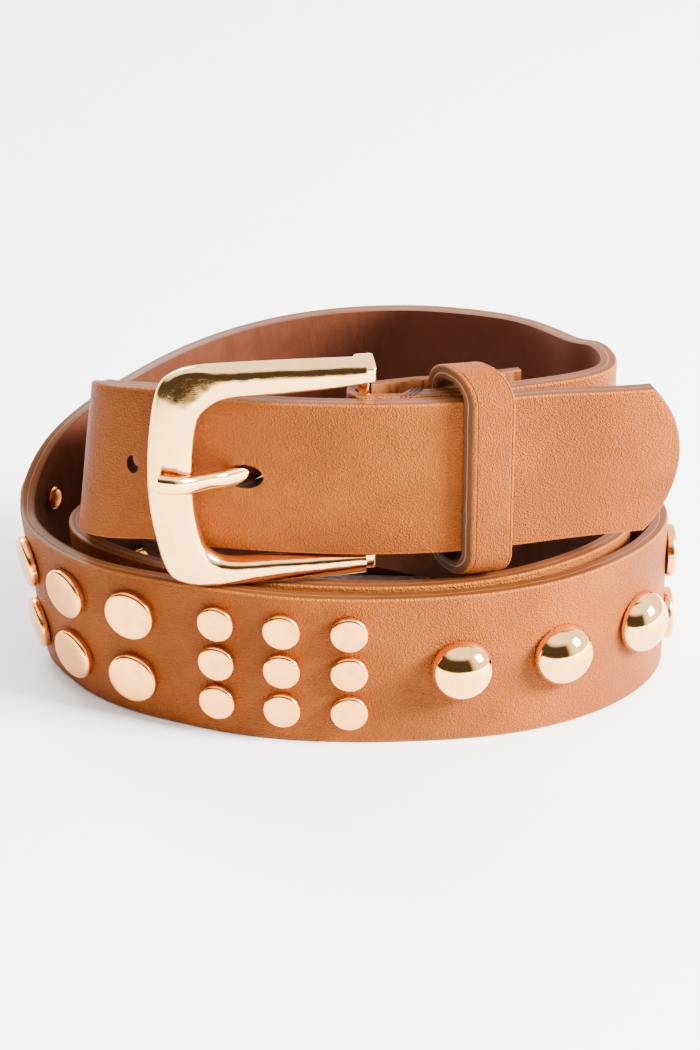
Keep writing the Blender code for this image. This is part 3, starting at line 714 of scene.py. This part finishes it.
def carry_attribute(old, new):
    """Gives every point of the new mesh the strap attribute of the old points next to it."""
    values = np.zeros(len(old.vertices) * 3)
    old.attributes["strap"].data.foreach_get("vector", values)
    values = values.reshape(-1, 3)
    tree = kdtree.KDTree(len(old.vertices))
    for vertex in old.vertices:
        tree.insert(vertex.co, vertex.index)
    tree.balance()
    found = []
    for vertex in new.vertices:
        near = tree.find_n(vertex.co, 3)
        weights = np.array([1.0 / (distance + SAME_POINT) for _, _, distance in near])
        rows = values[[index for _, index, _ in near]]
        found.append((rows * weights[:, None]).sum(axis=0) / weights.sum())
    if "strap" not in new.attributes:
        new.attributes.new("strap", "FLOAT_VECTOR", "POINT")
    new.attributes["strap"].data.foreach_set("vector", np.array(found).ravel())


def corner(radius, steps):
    """Quarter round: shares along the two legs."""
    found = []
    for k in range(1, steps + 1):
        angle = math.pi / 2 * k / (steps + 1)
        found.append((radius * math.sin(angle), radius * (1 - math.cos(angle))))
    return found


def wall_ring(thick):
    """(side, inset, depth) round a leather wall: the face, edges of two plies, and the back."""
    front, back = FACE_CORNER, BACK_CORNER
    ply = min(FACE_WALL, thick * 0.5)
    edge = [(front - a, b) for a, b in corner(front, 2)]
    edge += [(0.0, front), (-PLY_SWELL, ply * 0.62), (GLUE_SINK, ply)]
    edge += [(-BACK_PLY_SWELL, (ply + thick) / 2), (0.0, thick - back)]
    edge += [(b, thick - back + a) for a, b in corner(back, 1)]
    ring = [(side, front, 0.0) for side in np.linspace(-1, 1, FACE_COLUMNS)]
    ring += [(1, inset, depth) for inset, depth in edge]
    ring += [(side, back, thick) for side in np.linspace(1, -1, FACE_COLUMNS)]
    ring += [(-1, inset, depth) for inset, depth in reversed(edge)]
    return ring


def fine_run(start, end):
    """Sections of the route that are just over FINE_STEP apart."""
    turns = [start]
    turn = start
    last = route_section(start)
    while turn < end - TURN_STEP:
        turn += TURN_STEP
        here = route_section(turn)
        if np.hypot(*(here.middle - last.middle)) > FINE_STEP:
            turns.append(turn)
            last = here
    return [route_section(t) for t in turns]


def build_strap(look, hole_look):
    """The whole strap from the flap's end to the rounded tip, as one sewn band."""
    last = route_section(END_TURN)
    runs = [(section, FACE_WALL) for section in fold_sections()]
    for section in fine_run(turn_at(BAR_X) + PAST_BAR, END_TURN):
        near = np.hypot(*(section.middle - last.middle)) < TIP_ROUND * 1.1
        if near and section.bottom > UPPER_TIER * 0.9:
            break
        folded = section.middle[0] < LINING_START_X and len(runs) < SECTIONS_BY_BAR
        runs.append((section, FACE_WALL if folded else STRAP_THICK))
    shape = bmesh.new()
    rings, values = [], []
    run = 0.0
    before = None
    for section, thick in runs:
        if before is not None:
            run += float(np.hypot(*(section.middle - before))) / MM
        before = section.middle
        half = STRAP_WIDTH / 2
        ring = []
        for side, inset, depth in wall_ring(thick):
            high = side * (half - inset)
            lift = ripple(run, high / MM) * (1.0 if depth < thick / 2 else -0.6)
            ring.append(section.point(depth - lift, 0.5 + high / STRAP_WIDTH))
            values.append((run, high / MM, depth / MM))
        rings.append(ring)
    rail = Rail(turn_at(BAR_X), END_TURN)
    whole = rail.lengths[-1]
    round_end = (half**2 + TIP_ROUND**2) / (2 * TIP_ROUND)
    run_at_end = run + float(np.hypot(*(last.middle - before))) / MM
    for share in TIP_SHARES:
        ring = []
        for side, inset, depth in wall_ring(STRAP_THICK):
            radius = round_end - inset
            angle = share * math.asin((half - inset) / radius)
            back = round_end - radius * math.cos(angle)
            high = side * radius * math.sin(angle)
            ring.append(rail.section(whole - back).point(depth, 0.5 + high / STRAP_WIDTH))
            values.append((run_at_end - back / MM, high / MM, depth / MM))
        rings.append(ring)
    tube(shape, rings)
    strap = add_piece("strap", shape, look, ("strap_face", "strap_lining"), values)
    strap.data.materials.append(hole_look)

    first = rail.length_at(turn_at(PRONG_HOLE_X, 3))
    holes = bmesh.new()
    sizes = [(first, PRONG_HOLE_WIDTH, PRONG_HOLE_HEIGHT)]
    sizes += [(first - k * PUNCH_PITCH, PUNCH_WIDTH, PUNCH_HEIGHT) for k in range(1, PUNCH_COUNT)]
    for length, wide, tall in sizes:
        origin, along, up, out = seat(rail.section(length), 0.0)
        rings = []
        for height in (-STRAP_THICK - GAP, GAP):
            ring = []
            for c, s in circle(HOLE_SIDES):
                ring.append(origin + along * c * wide / 2 + up * s * tall / 2 + out * height)
            rings.append(ring)
        tube(holes, rings)
    cut(strap, cutter_object("holes", holes, hole_look))

    centre, out = bar_centre()
    along = np.array((-out[1], out[0]))
    slot = bmesh.new()
    half = PRONG_WIDTH / 2 + 2 * GAP
    near = FOLD_RADIUS + GAP / 2
    rings = []
    for z in (UPPER_MIDDLE - half, UPPER_MIDDLE + half):
        ring = []
        for u, w in ((-1.2, 1), (1.2, 1), (1.2, -1.2), (-1.2, -1.2)):
            ring.append((*(centre + along * u * FOLD_RADIUS + out * w * near), z))
        rings.append(ring)
    tube(slot, rings)
    cut(strap, cutter_object("prong_slot", slot, hole_look))
    return strap


def build_keeper(look):
    """The keeper as one closed band, with the seam of its grain at the back."""
    depth = KEEPER_INSIDE + 2 * KEEPER_WALL
    height = STRAP_WIDTH + KEEPER_PLAY + 2 * KEEPER_WALL
    centre_z = FRAME_BOTTOM + height / 2
    outer = rounded_loop(depth, height, KEEPER_CORNER, CORNER_STEPS)
    inner_height = height - 2 * KEEPER_WALL
    inner_corner = KEEPER_CORNER - KEEPER_WALL
    inner = rounded_loop(KEEPER_INSIDE, inner_height, inner_corner, CORNER_STEPS)
    near_far = []
    for i, (near, far) in enumerate(zip(outer, inner)):
        near_far.append((np.array(near), np.array(far)))
        following = (i + 1) % len(outer)
        gap = np.linalg.norm(np.array(outer[following]) - np.array(near))
        extra = int(gap / KEEPER_STEP)
        for k in range(1, extra):
            share = k / extra
            outside = np.array(near) * (1 - share) + np.array(outer[following]) * share
            inside = np.array(far) * (1 - share) + np.array(inner[following]) * share
            near_far.append((outside, inside))
    rearmost = min(range(len(near_far)), key=lambda i: near_far[i][0][0] + abs(near_far[i][0][1]))
    near_far = near_far[rearmost:] + near_far[:rearmost]
    shape = bmesh.new()
    rings, values = [], []
    run = 0.0
    before = None
    ring_shape = wall_ring(KEEPER_WALL)
    for near, far in near_far:
        if before is not None:
            run += float(np.linalg.norm(near - before)) / MM
        before = near
        ring = []
        for sign, inset, inward in ring_shape:
            side = sign * (KEEPER_WIDTH / 2 - inset)
            share = inward / KEEPER_WALL
            forward, high = near * (1 - share) + far * share
            slide = side + KEEPER_SKEW * (forward - depth / 2)
            section = route_section(turn_at(KEEPER_X + slide, 3))
            flat = section.middle + section.out * (forward - KEEPER_INSIDE / 2 + GAP)
            ring.append((*flat, centre_z + high))
            values.append((run + KEEPER_RUN, side / MM, inward / MM))
        rings.append(ring)
    tube(shape, rings, closed=True)
    return add_piece("keeper_band", shape, look, ("keeper",), values)


def crown_ring(place):
    """(across, proud) round the frame's section at one place of its outline."""
    start, full, end = CORNER_ROWS
    rise = (place - start) / (full - start) if place < full else (end - place) / (end - full)
    rise = min(max(rise, 0.0), 1.0)
    rise = rise * rise * (3 - 2 * rise)
    rows = []
    for i, (across, proud, corner_across, corner_proud) in enumerate(CROWN):
        across += (corner_across - across) * rise
        rows.append((i, across, proud + (corner_proud - proud) * rise))
    curve = Spline(rows)
    return [curve(i) for i in np.arange(0, len(CROWN) - 0.5, 0.5)]


def add_ears(shape, axes, ear_in):
    """The two blocks that hold the hinge bar, with soft edges."""
    ear_front = FRAME_STANDOFF + FRAME_THICK * 0.8
    sides = ((-EAR_LENGTH / 2, -EAR_BACK), (EAR_LENGTH / 2, -EAR_BACK),
             (EAR_LENGTH * 1.1, FRAME_STANDOFF + 2 * GAP), (EAR_LENGTH * 0.9, ear_front),
             (-EAR_LENGTH / 2 + GAP, ear_front))
    for side in (1, -1):
        block = bmesh.new()
        ears = []
        for high in (ear_in, ear_in + EAR_HEIGHT):
            ears.append([axes.point(along, side * high, proud) for along, proud in sides])
        tube(block, ears)
        bmesh.ops.recalc_face_normals(block, faces=block.faces)
        bmesh.ops.bevel(block, geom=list(block.edges), offset=EAR_BEVEL, segments=3, profile=0.5,
                        affect="EDGES")
        ear = bpy.data.meshes.new("ear")
        block.to_mesh(ear)
        block.free()
        shape.from_mesh(ear)
        bpy.data.meshes.remove(ear)


def build_frame(look):
    """The cast frame with its crown, its two ears and the hinge bar."""
    axes = FrameAxes()
    outline = Spline([(i, *row) for i, row in enumerate(FRAME_OUTLINE)])
    shape = bmesh.new()
    rings = []
    for place in np.linspace(0, len(FRAME_OUTLINE) - 1, FRAME_RINGS):
        outer_along, outer_high, inner_along, inner_high = outline(place)
        ring = []
        for across, proud in crown_ring(place):
            along = inner_along + (outer_along - inner_along) * across
            high = inner_high + (outer_high - inner_high) * across
            out = FRAME_STANDOFF + proud * FRAME_THICK
            ring.append(axes.point(along * FRAME_REACH, high * FRAME_HEIGHT / 2, out))
        rings.append(ring)
    tube(shape, rings)
    ear_in = FRAME_HEIGHT / 2 * FRAME_OUTLINE[0].inner_high + GAP / 2
    add_ears(shape, axes, ear_in)
    bar_end = ear_in + EAR_HEIGHT / 2
    rings = []
    for high in (-bar_end, bar_end):
        ring = [axes.point(c * BAR_RADIUS, high, s * BAR_RADIUS) for c, s in circle(BAR_SIDES)]
        rings.append(ring)
    tube(shape, rings)
    return add_piece("buckle", shape, look, ("buckle_frame",))


def prong_body(shape, axes):
    """The prong's length, from the eye to its end on the frame."""
    points = prong_route(axes)
    steps = [np.hypot(*(b - a)) for a, b in zip(points, points[1:])]
    lengths = np.concatenate(([0.0], np.cumsum(steps)))
    curve = Spline([(s, *p) for s, p in zip(lengths, points)])
    start, end = lengths[PRONG_OUTSIDE], lengths[-1]
    places = [(length, 1.0) for length in np.linspace(0.0, end - PRONG_END, PRONG_RINGS)]
    places += [(end - PRONG_END * 0.375, 0.97), (end, 0.90)]
    rings = []
    for length, shrink in places:
        middle = curve(length)
        ahead = curve(min(length + 1e-4, end)) - curve(max(length - 1e-4, 0.0))
        ahead /= np.hypot(*ahead)
        side = np.array((-ahead[1], ahead[0]))
        z = UPPER_MIDDLE + PRONG_RISE * max(0.0, (length - start) / (end - start))
        ring = []
        for k in range(PRONG_SIDES):
            front, high = FACETS(math.degrees(2 * math.pi * k / PRONG_SIDES))
            flat = middle - side * front * PRONG_THICK / 2 * shrink
            ring.append((*flat, z + high * PRONG_WIDTH / 2 * shrink))
        rings.append(ring)
    tube(shape, rings)


def prong_eye(shape, axes):
    """The prong's eye round the hinge bar, with soft square corners."""
    middle_radius = BAR_RADIUS + GAP + PRONG_EYE_WALL / 2
    rings = []
    for run_c, run_s in circle(EYE_RINGS):
        ring = []
        for c, s in circle(EYE_SIDES):
            radius = middle_radius + PRONG_EYE_WALL / 2 * math.copysign(abs(c) ** EYE_SQUARE, c)
            high = PRONG_WIDTH / 2 * math.copysign(abs(s) ** EYE_SQUARE, s)
            flat = axes.centre + radius * np.array((run_c, run_s))
            ring.append((*flat, UPPER_MIDDLE + high))
        rings.append(ring)
    tube(shape, rings, closed=True)


def build_prong(look):
    axes = FrameAxes()
    shape = bmesh.new()
    prong_body(shape, axes)
    prong_eye(shape, axes)
    return add_piece("prong", shape, look, ("buckle_prong",))


def fine_stud(radius, height, domed):
    """Lathe profile (radius, height) of a stud from its rivet back to the crown."""
    back = -STRAP_THICK - 2 * GAP
    profile = [(0.00005, back - 0.0007), (RIVET_RADIUS * 0.6, back - 0.00066),
               (RIVET_RADIUS * 0.9, back - 0.0005), (RIVET_RADIUS, back - 0.0002),
               (RIVET_RADIUS * 0.97, back + 0.0002), (SHANK_RADIUS, back + 0.0003),
               (SHANK_RADIUS, -0.0001), (radius * 0.93, -0.0001), (radius * 0.985, 0.0001)]
    if domed:
        for degrees in range(4, 89, 6):
            angle = math.radians(degrees)
            profile.append((radius * math.cos(angle), GAP + height * math.sin(angle)))
    else:
        for share, rise in ((1.0, 0.30), (1.0, 0.50), (0.985, 0.66), (0.95, 0.80), (0.89, 0.88),
                            (0.80, 0.925), (0.60, 0.97), (0.35, 0.992)):
            profile.append((radius * share, height * rise + GAP))
    profile.append((radius * 0.02, GAP + height))
    return profile


def build_studs(looks):
    rail = Rail(turn_at(BAR_X), END_TURN)
    kinds = {"big_stud": (BIG_RADIUS, BIG_HEIGHT, False),
             "small_stud": (SMALL_RADIUS, SMALL_HEIGHT, False),
             "dome_stud": (DOME_RADIUS, DOME_HEIGHT, True)}
    counts = {}
    for place in stud_places(rail.length_at(FIRST_STUD_TURN)):
        counts[place.kind] = counts.get(place.kind, 0) + 1
        node = f"{place.kind}_{counts[place.kind]:02d}"
        radius, height, domed = kinds[place.kind]
        where = seat(rail.section(place.length), place.high)
        shape = bmesh.new()
        turned(shape, where, fine_stud(radius, height, domed), STUD_SIDES)
        add_piece(f"fine_{node}", shape, looks["dome" if domed else "flat"], (node,),
                  sharp_above=STUD_SHARP_ABOVE)


def build_thread(look):
    """Tacks that hold the flap: short wraps over the strap's upper and lower edges."""
    shape = bmesh.new()
    wrap = ((0.0, -0.0022), (-0.00015, -0.0006), (0.0003, 0.00018), (STRAP_THICK * 0.5, 0.00022),
            (STRAP_THICK - 0.0003, 0.00018), (STRAP_THICK + 0.00015, -0.0006),
            (STRAP_THICK, -0.0022))
    for x in THREAD_PLACES:
        section = route_section(turn_at(x))
        for level, way in ((section.top, 1), (section.bottom, -1)):
            path = []
            for depth, high in wrap:
                flat = section.middle - section.out * depth
                flat = flat + section.along * (depth - STRAP_THICK / 2) * THREAD_SLANT
                path.append(np.array((*flat, level + way * high)))
            rings = []
            for i, point in enumerate(path):
                ahead = path[min(i + 1, len(path) - 1)] - path[max(i - 1, 0)]
                ahead /= np.linalg.norm(ahead)
                side = np.array((*section.along, 0.0))
                up = np.cross(ahead, side)
                ring = [point + (side * c + up * s) * THREAD_RADIUS for c, s in circle(THREAD_SIDES)]
                rings.append(ring)
            tube(shape, rings)
    return add_piece("flap_thread", shape, look, ())


class Graph:
    """Short calls for building the nodes of a material or a world."""

    def __init__(self, owner):
        owner.use_nodes = True
        self.owner = owner
        self.tree = owner.node_tree

    def node(self, kind, **settings):
        made = self.tree.nodes.new(kind)
        for key, value in settings.items():
            setattr(made, key, value)
        return made

    def put(self, value, socket):
        if isinstance(value, (int, float)):
            socket.default_value = value
        elif isinstance(value, tuple):
            missing = len(socket.default_value) - len(value)
            socket.default_value = value + (1.0,) * missing
        else:
            self.tree.links.new(value, socket)

    def maths(self, operation, a, b=0.0):
        made = self.node("ShaderNodeMath", operation=operation)
        for value, socket in zip((a, b), made.inputs):
            self.put(value, socket)
        return made.outputs[0]

    def step(self, value, low, high):
        """0 below low, 1 above high, smooth between."""
        made = self.node("ShaderNodeMapRange", interpolation_type="SMOOTHSTEP")
        self.put(value, made.inputs["Value"])
        self.put(low, made.inputs["From Min"])
        self.put(high, made.inputs["From Max"])
        return made.outputs["Result"]

    def mix(self, share, a, b):
        made = self.node("ShaderNodeMix", data_type="RGBA")
        self.put(share, made.inputs[0])
        self.put(a, made.inputs[6])
        self.put(b, made.inputs[7])
        return made.outputs[2]

    def blend(self, share, a, b):
        made = self.node("ShaderNodeMix", data_type="FLOAT")
        self.put(share, made.inputs[0])
        self.put(a, made.inputs[2])
        self.put(b, made.inputs[3])
        return made.outputs[0]

    def noise(self, vector, scale, detail=2.0, roughness=0.5, distortion=0.0):
        made = self.node("ShaderNodeTexNoise")
        self.put(vector, made.inputs["Vector"])
        self.put(scale, made.inputs["Scale"])
        self.put(detail, made.inputs["Detail"])
        self.put(roughness, made.inputs["Roughness"])
        self.put(distortion, made.inputs["Distortion"])
        return made.outputs["Fac"]

    def cells(self, vector, scale):
        made = self.node("ShaderNodeTexVoronoi")
        self.put(vector, made.inputs["Vector"])
        self.put(scale, made.inputs["Scale"])
        return made.outputs["Distance"]

    def stretch(self, vector, scale):
        made = self.node("ShaderNodeMapping")
        self.put(vector, made.inputs["Vector"])
        made.inputs["Scale"].default_value = scale
        return made.outputs["Vector"]

    def bump(self, height, distance, strength=1.0):
        made = self.node("ShaderNodeBump")
        self.put(height, made.inputs["Height"])
        made.inputs["Distance"].default_value = distance
        made.inputs["Strength"].default_value = strength
        return made.outputs["Normal"]

    def shade(self, specular=0.5, **sockets):
        """Fills the material's own shader by its socket names."""
        shader = self.tree.nodes["Principled BSDF"]
        shader.inputs["Specular IOR Level"].default_value = specular
        for name, value in sockets.items():
            self.put(value, shader.inputs[name.replace("_", " ").title()])
        return self.owner


def leather(name, half, crease_depth, edge_dark, edge_light, edge_glue):
    """Pebbled face, painted edges of two plies and a smooth dark lining, told apart by the
    strap attribute: length, height and depth in millimetres."""
    g = Graph(bpy.data.materials.new(name))
    source = g.node("ShaderNodeAttribute", attribute_name="strap", attribute_type="GEOMETRY")
    place = source.outputs["Vector"]
    split = g.node("ShaderNodeSeparateXYZ")
    g.put(place, split.inputs[0])
    run, high, depth = split.outputs
    edge_distance = g.maths("ABSOLUTE", high)

    flat = g.stretch(place, (1.0, 1.0, 0.35))
    pebble = g.cells(g.stretch(flat, (1.0, 1.25, 1.0)), PEBBLES_PER_MM)
    fine = g.noise(flat, FINE_GRAIN_PER_MM, 3.0, 0.60, 0.3)
    creased = g.noise(g.stretch(flat, (0.7, 1.3, 1.0)), CREASES_PER_MM, 4.0, 0.60, 0.8)
    grain = g.maths("ADD", g.maths("MULTIPLY", pebble, 0.8), g.maths("MULTIPLY", fine, 0.4))
    grain = g.maths("ADD", grain, g.maths("MULTIPLY", creased, 0.5))
    off_crease = g.maths("ABSOLUTE", g.maths("SUBTRACT", edge_distance, half - CREASE_INSET))
    crease = g.maths("SUBTRACT", 1.0, g.step(off_crease, 0.03, 0.22))
    crease = g.maths("MULTIPLY", crease, crease_depth)
    grain = g.maths("SUBTRACT", grain, crease)

    tone = g.noise(flat, TONES_PER_MM, 3.0, 0.55)
    tan = g.mix(g.step(tone, 0.32, 0.68), LEATHER_DEEP, LEATHER_LIGHT)
    # Painted shade: the grain goes darker along the crease noise, as shade in its creases
    tan = g.mix(g.maths("MULTIPLY", g.step(creased, 0.52, 0.72), 0.30), tan, LEATHER_CREASE_SHADE)
    # Painted highlight: light specks where the fine grain is high
    tan = g.mix(g.maths("MULTIPLY", g.step(fine, 0.60, 0.78), 0.25), tan, LEATHER_PAINTED_GLINT)
    # Painted shade in the crease line along the edge; the groove itself is a real dent in the grain
    tan = g.mix(g.maths("MULTIPLY", crease, 0.45), tan, LEATHER_CREASE_SHADE)
    # Painted highlight: a light line along the face's upper and lower edges
    rim_highlight = g.step(edge_distance, half - 0.62, half - 0.30)
    tan = g.mix(g.maths("MULTIPLY", rim_highlight, 0.55), tan, LEATHER_PAINTED_GLINT)

    wobble = g.noise(g.stretch(place, (1.0, 0.2, 1.0)), 0.35, 3.0, 0.6)
    edge = g.mix(g.noise(g.stretch(place, (0.25, 1.0, 3.0)), 0.6, 3.0), edge_dark, edge_light)
    waved = g.maths("ADD", depth, g.maths("MULTIPLY", wobble, GLUE_WAVE))
    glue = g.maths("ABSOLUTE", g.maths("SUBTRACT", waved, GLUE_DEPTH))
    edge = g.mix(g.maths("SUBTRACT", 1.0, g.step(glue, 0.04, 0.14)), edge, edge_glue)

    creases = g.noise(g.stretch(place, (1.0, 0.35, 1.0)), 0.22, 4.0, 0.6, 0.6)
    spots = g.noise(place, 1.8, 3.0, 0.6)
    # Painted shade and light: the lining is darker in its crease valleys and lighter on their crests,
    # by the same noise as its bump
    inner = g.mix(g.step(creases, 0.40, 0.66), LINING_DARK, LINING_LIGHT)
    inner = g.mix(g.maths("MULTIPLY", spots, 0.25), inner, LINING_WARM)
    # Painted light: the lining is paler near the buckle and fades to its dark colour along the run
    lit_by_buckle = g.maths("SUBTRACT", 1.0, g.step(run, *LINING_FADE))
    inner = g.mix(g.maths("MULTIPLY", lit_by_buckle, 0.8), inner, LINING_LIT_BY_BUCKLE)

    on_edge = g.step(depth, *EDGE_STARTS)
    on_lining = g.step(depth, *LINING_STARTS)
    colour = g.mix(on_edge, tan, edge)
    colour = g.mix(on_lining, colour, inner)

    face_bump = g.bump(grain, GRAIN_DEPTH, GRAIN_STRENGTH)
    edge_bump = g.bump(g.noise(g.stretch(place, (0.6, 1.0, 2.0)), 1.2, 3.0), 0.00010, 0.35)
    lining_bump = g.bump(g.maths("ADD", creases, g.maths("MULTIPLY", spots, 0.3)), 0.00022, 0.5)
    normal = g.mix(on_lining, g.mix(on_edge, face_bump, edge_bump), lining_bump)

    rough = g.blend(g.step(pebble, 0.15, 0.55), *FACE_ROUGHNESS)
    rough = g.blend(on_edge, rough, EDGE_ROUGHNESS)
    rough = g.blend(on_lining, rough, LINING_ROUGHNESS)
    return g.shade(specular=0.20, specular_tint=SHEEN_TINT, base_color=colour, roughness=rough,
                   normal=normal)


def hole_leather():
    """Near-black walls of the punched holes: painted shade inside the holes."""
    g = Graph(bpy.data.materials.new("hole_wall_leather"))
    speck = g.noise(g.node("ShaderNodeTexCoord").outputs["Object"], 900.0, 3.0)
    return g.shade(specular=0.05, base_color=g.mix(speck, HOLE_DARK, HOLE_LIGHT), roughness=0.8,
                   normal=g.bump(speck, 0.0001, 0.5))


def gold(name, colour, warm, rough, wear, wave_depth):
    """Polished plating with faint hand-buffing waves and hairlines."""
    g = Graph(bpy.data.materials.new(name))
    position = g.node("ShaderNodeTexCoord").outputs["Object"]
    wave = g.noise(position, 120.0, 2.0, 0.5)
    hair = g.noise(g.stretch(position, (1.0, 1.0, 14.0)), 900.0, 2.0, 0.6)
    smudge = g.noise(position, 260.0, 3.0, 0.6)
    return g.shade(
        base_color=g.mix(g.step(smudge, 0.35, 0.75), colour, warm),
        metallic=1.0,
        roughness=g.blend(g.step(smudge, 0.45, 0.80), rough, rough + wear),
        normal=g.bump(g.maths("ADD", wave, g.maths("MULTIPLY", hair, 0.02)), wave_depth),
    )


def thread_look():
    g = Graph(bpy.data.materials.new("waxed_thread"))
    position = g.node("ShaderNodeTexCoord").outputs["Object"]
    twist = g.noise(g.stretch(position, (1.0, 1.0, 0.4)), 2600.0, 2.0)
    return g.shade(base_color=g.mix(twist, THREAD_DARK, THREAD_LIGHT), roughness=0.7,
                   normal=g.bump(twist, 0.00008, 0.6))


def floor_look():
    g = Graph(bpy.data.materials.new("pale_floor"))
    cloud = g.noise(g.node("ShaderNodeTexCoord").outputs["Object"], 3.0, 3.0)
    shaded = tuple(0.985 * c for c in FLOOR_COLOUR)
    return g.shade(specular=0.2, base_color=g.mix(cloud, FLOOR_COLOUR, shaded), roughness=0.85)


def build_floor():
    shape = bmesh.new()
    bmesh.ops.create_grid(shape, x_segments=1, y_segments=1, size=FLOOR_HALF)
    mesh = bpy.data.meshes.new("floor")
    shape.to_mesh(mesh)
    shape.free()
    mesh.materials.append(floor_look())
    floor = link("floor", mesh)
    floor.location.z = -FLOOR_DROP


def softbox(name, place, wide, tall, power, colour):
    """A rectangular lamp that looks at the belt."""
    light = bpy.data.lights.new(name, "AREA")
    light.shape = "RECTANGLE"
    light.size = wide
    light.size_y = tall
    light.energy = power
    light.color = colour
    made = link(name, light)
    made.location = place
    direction = Vector(LAMP_AIM) - Vector(place)
    made.rotation_euler = direction.to_track_quat("-Z", "Y").to_euler()


def build_world():
    """A white studio that is darker low down on the camera's side, for the metal to mirror."""
    world = bpy.data.worlds.new("studio")
    g = Graph(world)
    way = g.node("ShaderNodeTexCoord").outputs["Generated"]
    split = g.node("ShaderNodeSeparateXYZ")
    g.put(way, split.inputs[0])
    facing = g.node("ShaderNodeVectorMath", operation="DOT_PRODUCT")
    g.put(way, facing.inputs[0])
    facing.inputs[1].default_value = DARK_SIDE
    front = g.step(facing.outputs["Value"], *DARK_FACING)
    low = g.step(split.outputs[2], *DARK_HEIGHT)
    background = g.tree.nodes["Background"]
    g.put(g.mix(g.maths("MULTIPLY", front, low), WORLD_LIGHT, WORLD_DARK), background.inputs["Color"])
    background.inputs["Strength"].default_value = 1.0
    bpy.context.scene.world = world


def build_camera():
    lens = bpy.data.cameras.new("camera")
    lens.sensor_fit = "VERTICAL"
    lens.sensor_height = SENSOR_HEIGHT
    lens.lens = PHOTO_FOCAL_PIXELS / PHOTO_HEIGHT_PIXELS * SENSOR_HEIGHT
    lens.clip_start = 0.01
    camera = link("camera", lens)
    back = np.array((0.0, -math.cos(CAMERA_ELEVATION), math.sin(CAMERA_ELEVATION)))
    camera.location = CAMERA_AIM + back * CAMERA_DISTANCE
    camera.rotation_euler = (math.pi / 2 - CAMERA_ELEVATION, 0.0, 0.0)
    bpy.context.scene.camera = camera


build_strap(
    leather("pebbled_leather", STRAP_WIDTH / 2 / MM, 0.12, EDGE_DARK, EDGE_LIGHT, EDGE_GLUE),
    hole_leather(),
)
build_keeper(leather("keeper_leather", KEEPER_WIDTH / 2 / MM, 0.7,
                     KEEPER_EDGE_DARK, KEEPER_EDGE_LIGHT, KEEPER_EDGE_GLUE))
build_frame(gold("pale_gold_plate", GOLD, GOLD_WARM, 0.07, 0.08, 0.00045))
build_prong(gold("pale_gold_prong", GOLD, GOLD_WARM, 0.07, 0.08, 0.00012))
build_studs({"flat": gold("rose_gold_cap", ROSE, ROSE_WARM, 0.17, 0.16, 0.00030),
             "dome": gold("rose_gold_dome", GOLD, ROSE, 0.05, 0.06, 0.00008)})
build_thread(thread_look())
build_floor()
build_world()
softbox("key", (1.09, -0.31, 0.62), 0.42, 0.42, 168.0, (1.0, 0.98, 0.95))
softbox("back_fill", (-0.55, 0.95, 0.95), 0.60, 0.40, 26.0, (1.0, 1.0, 1.0))
build_camera()
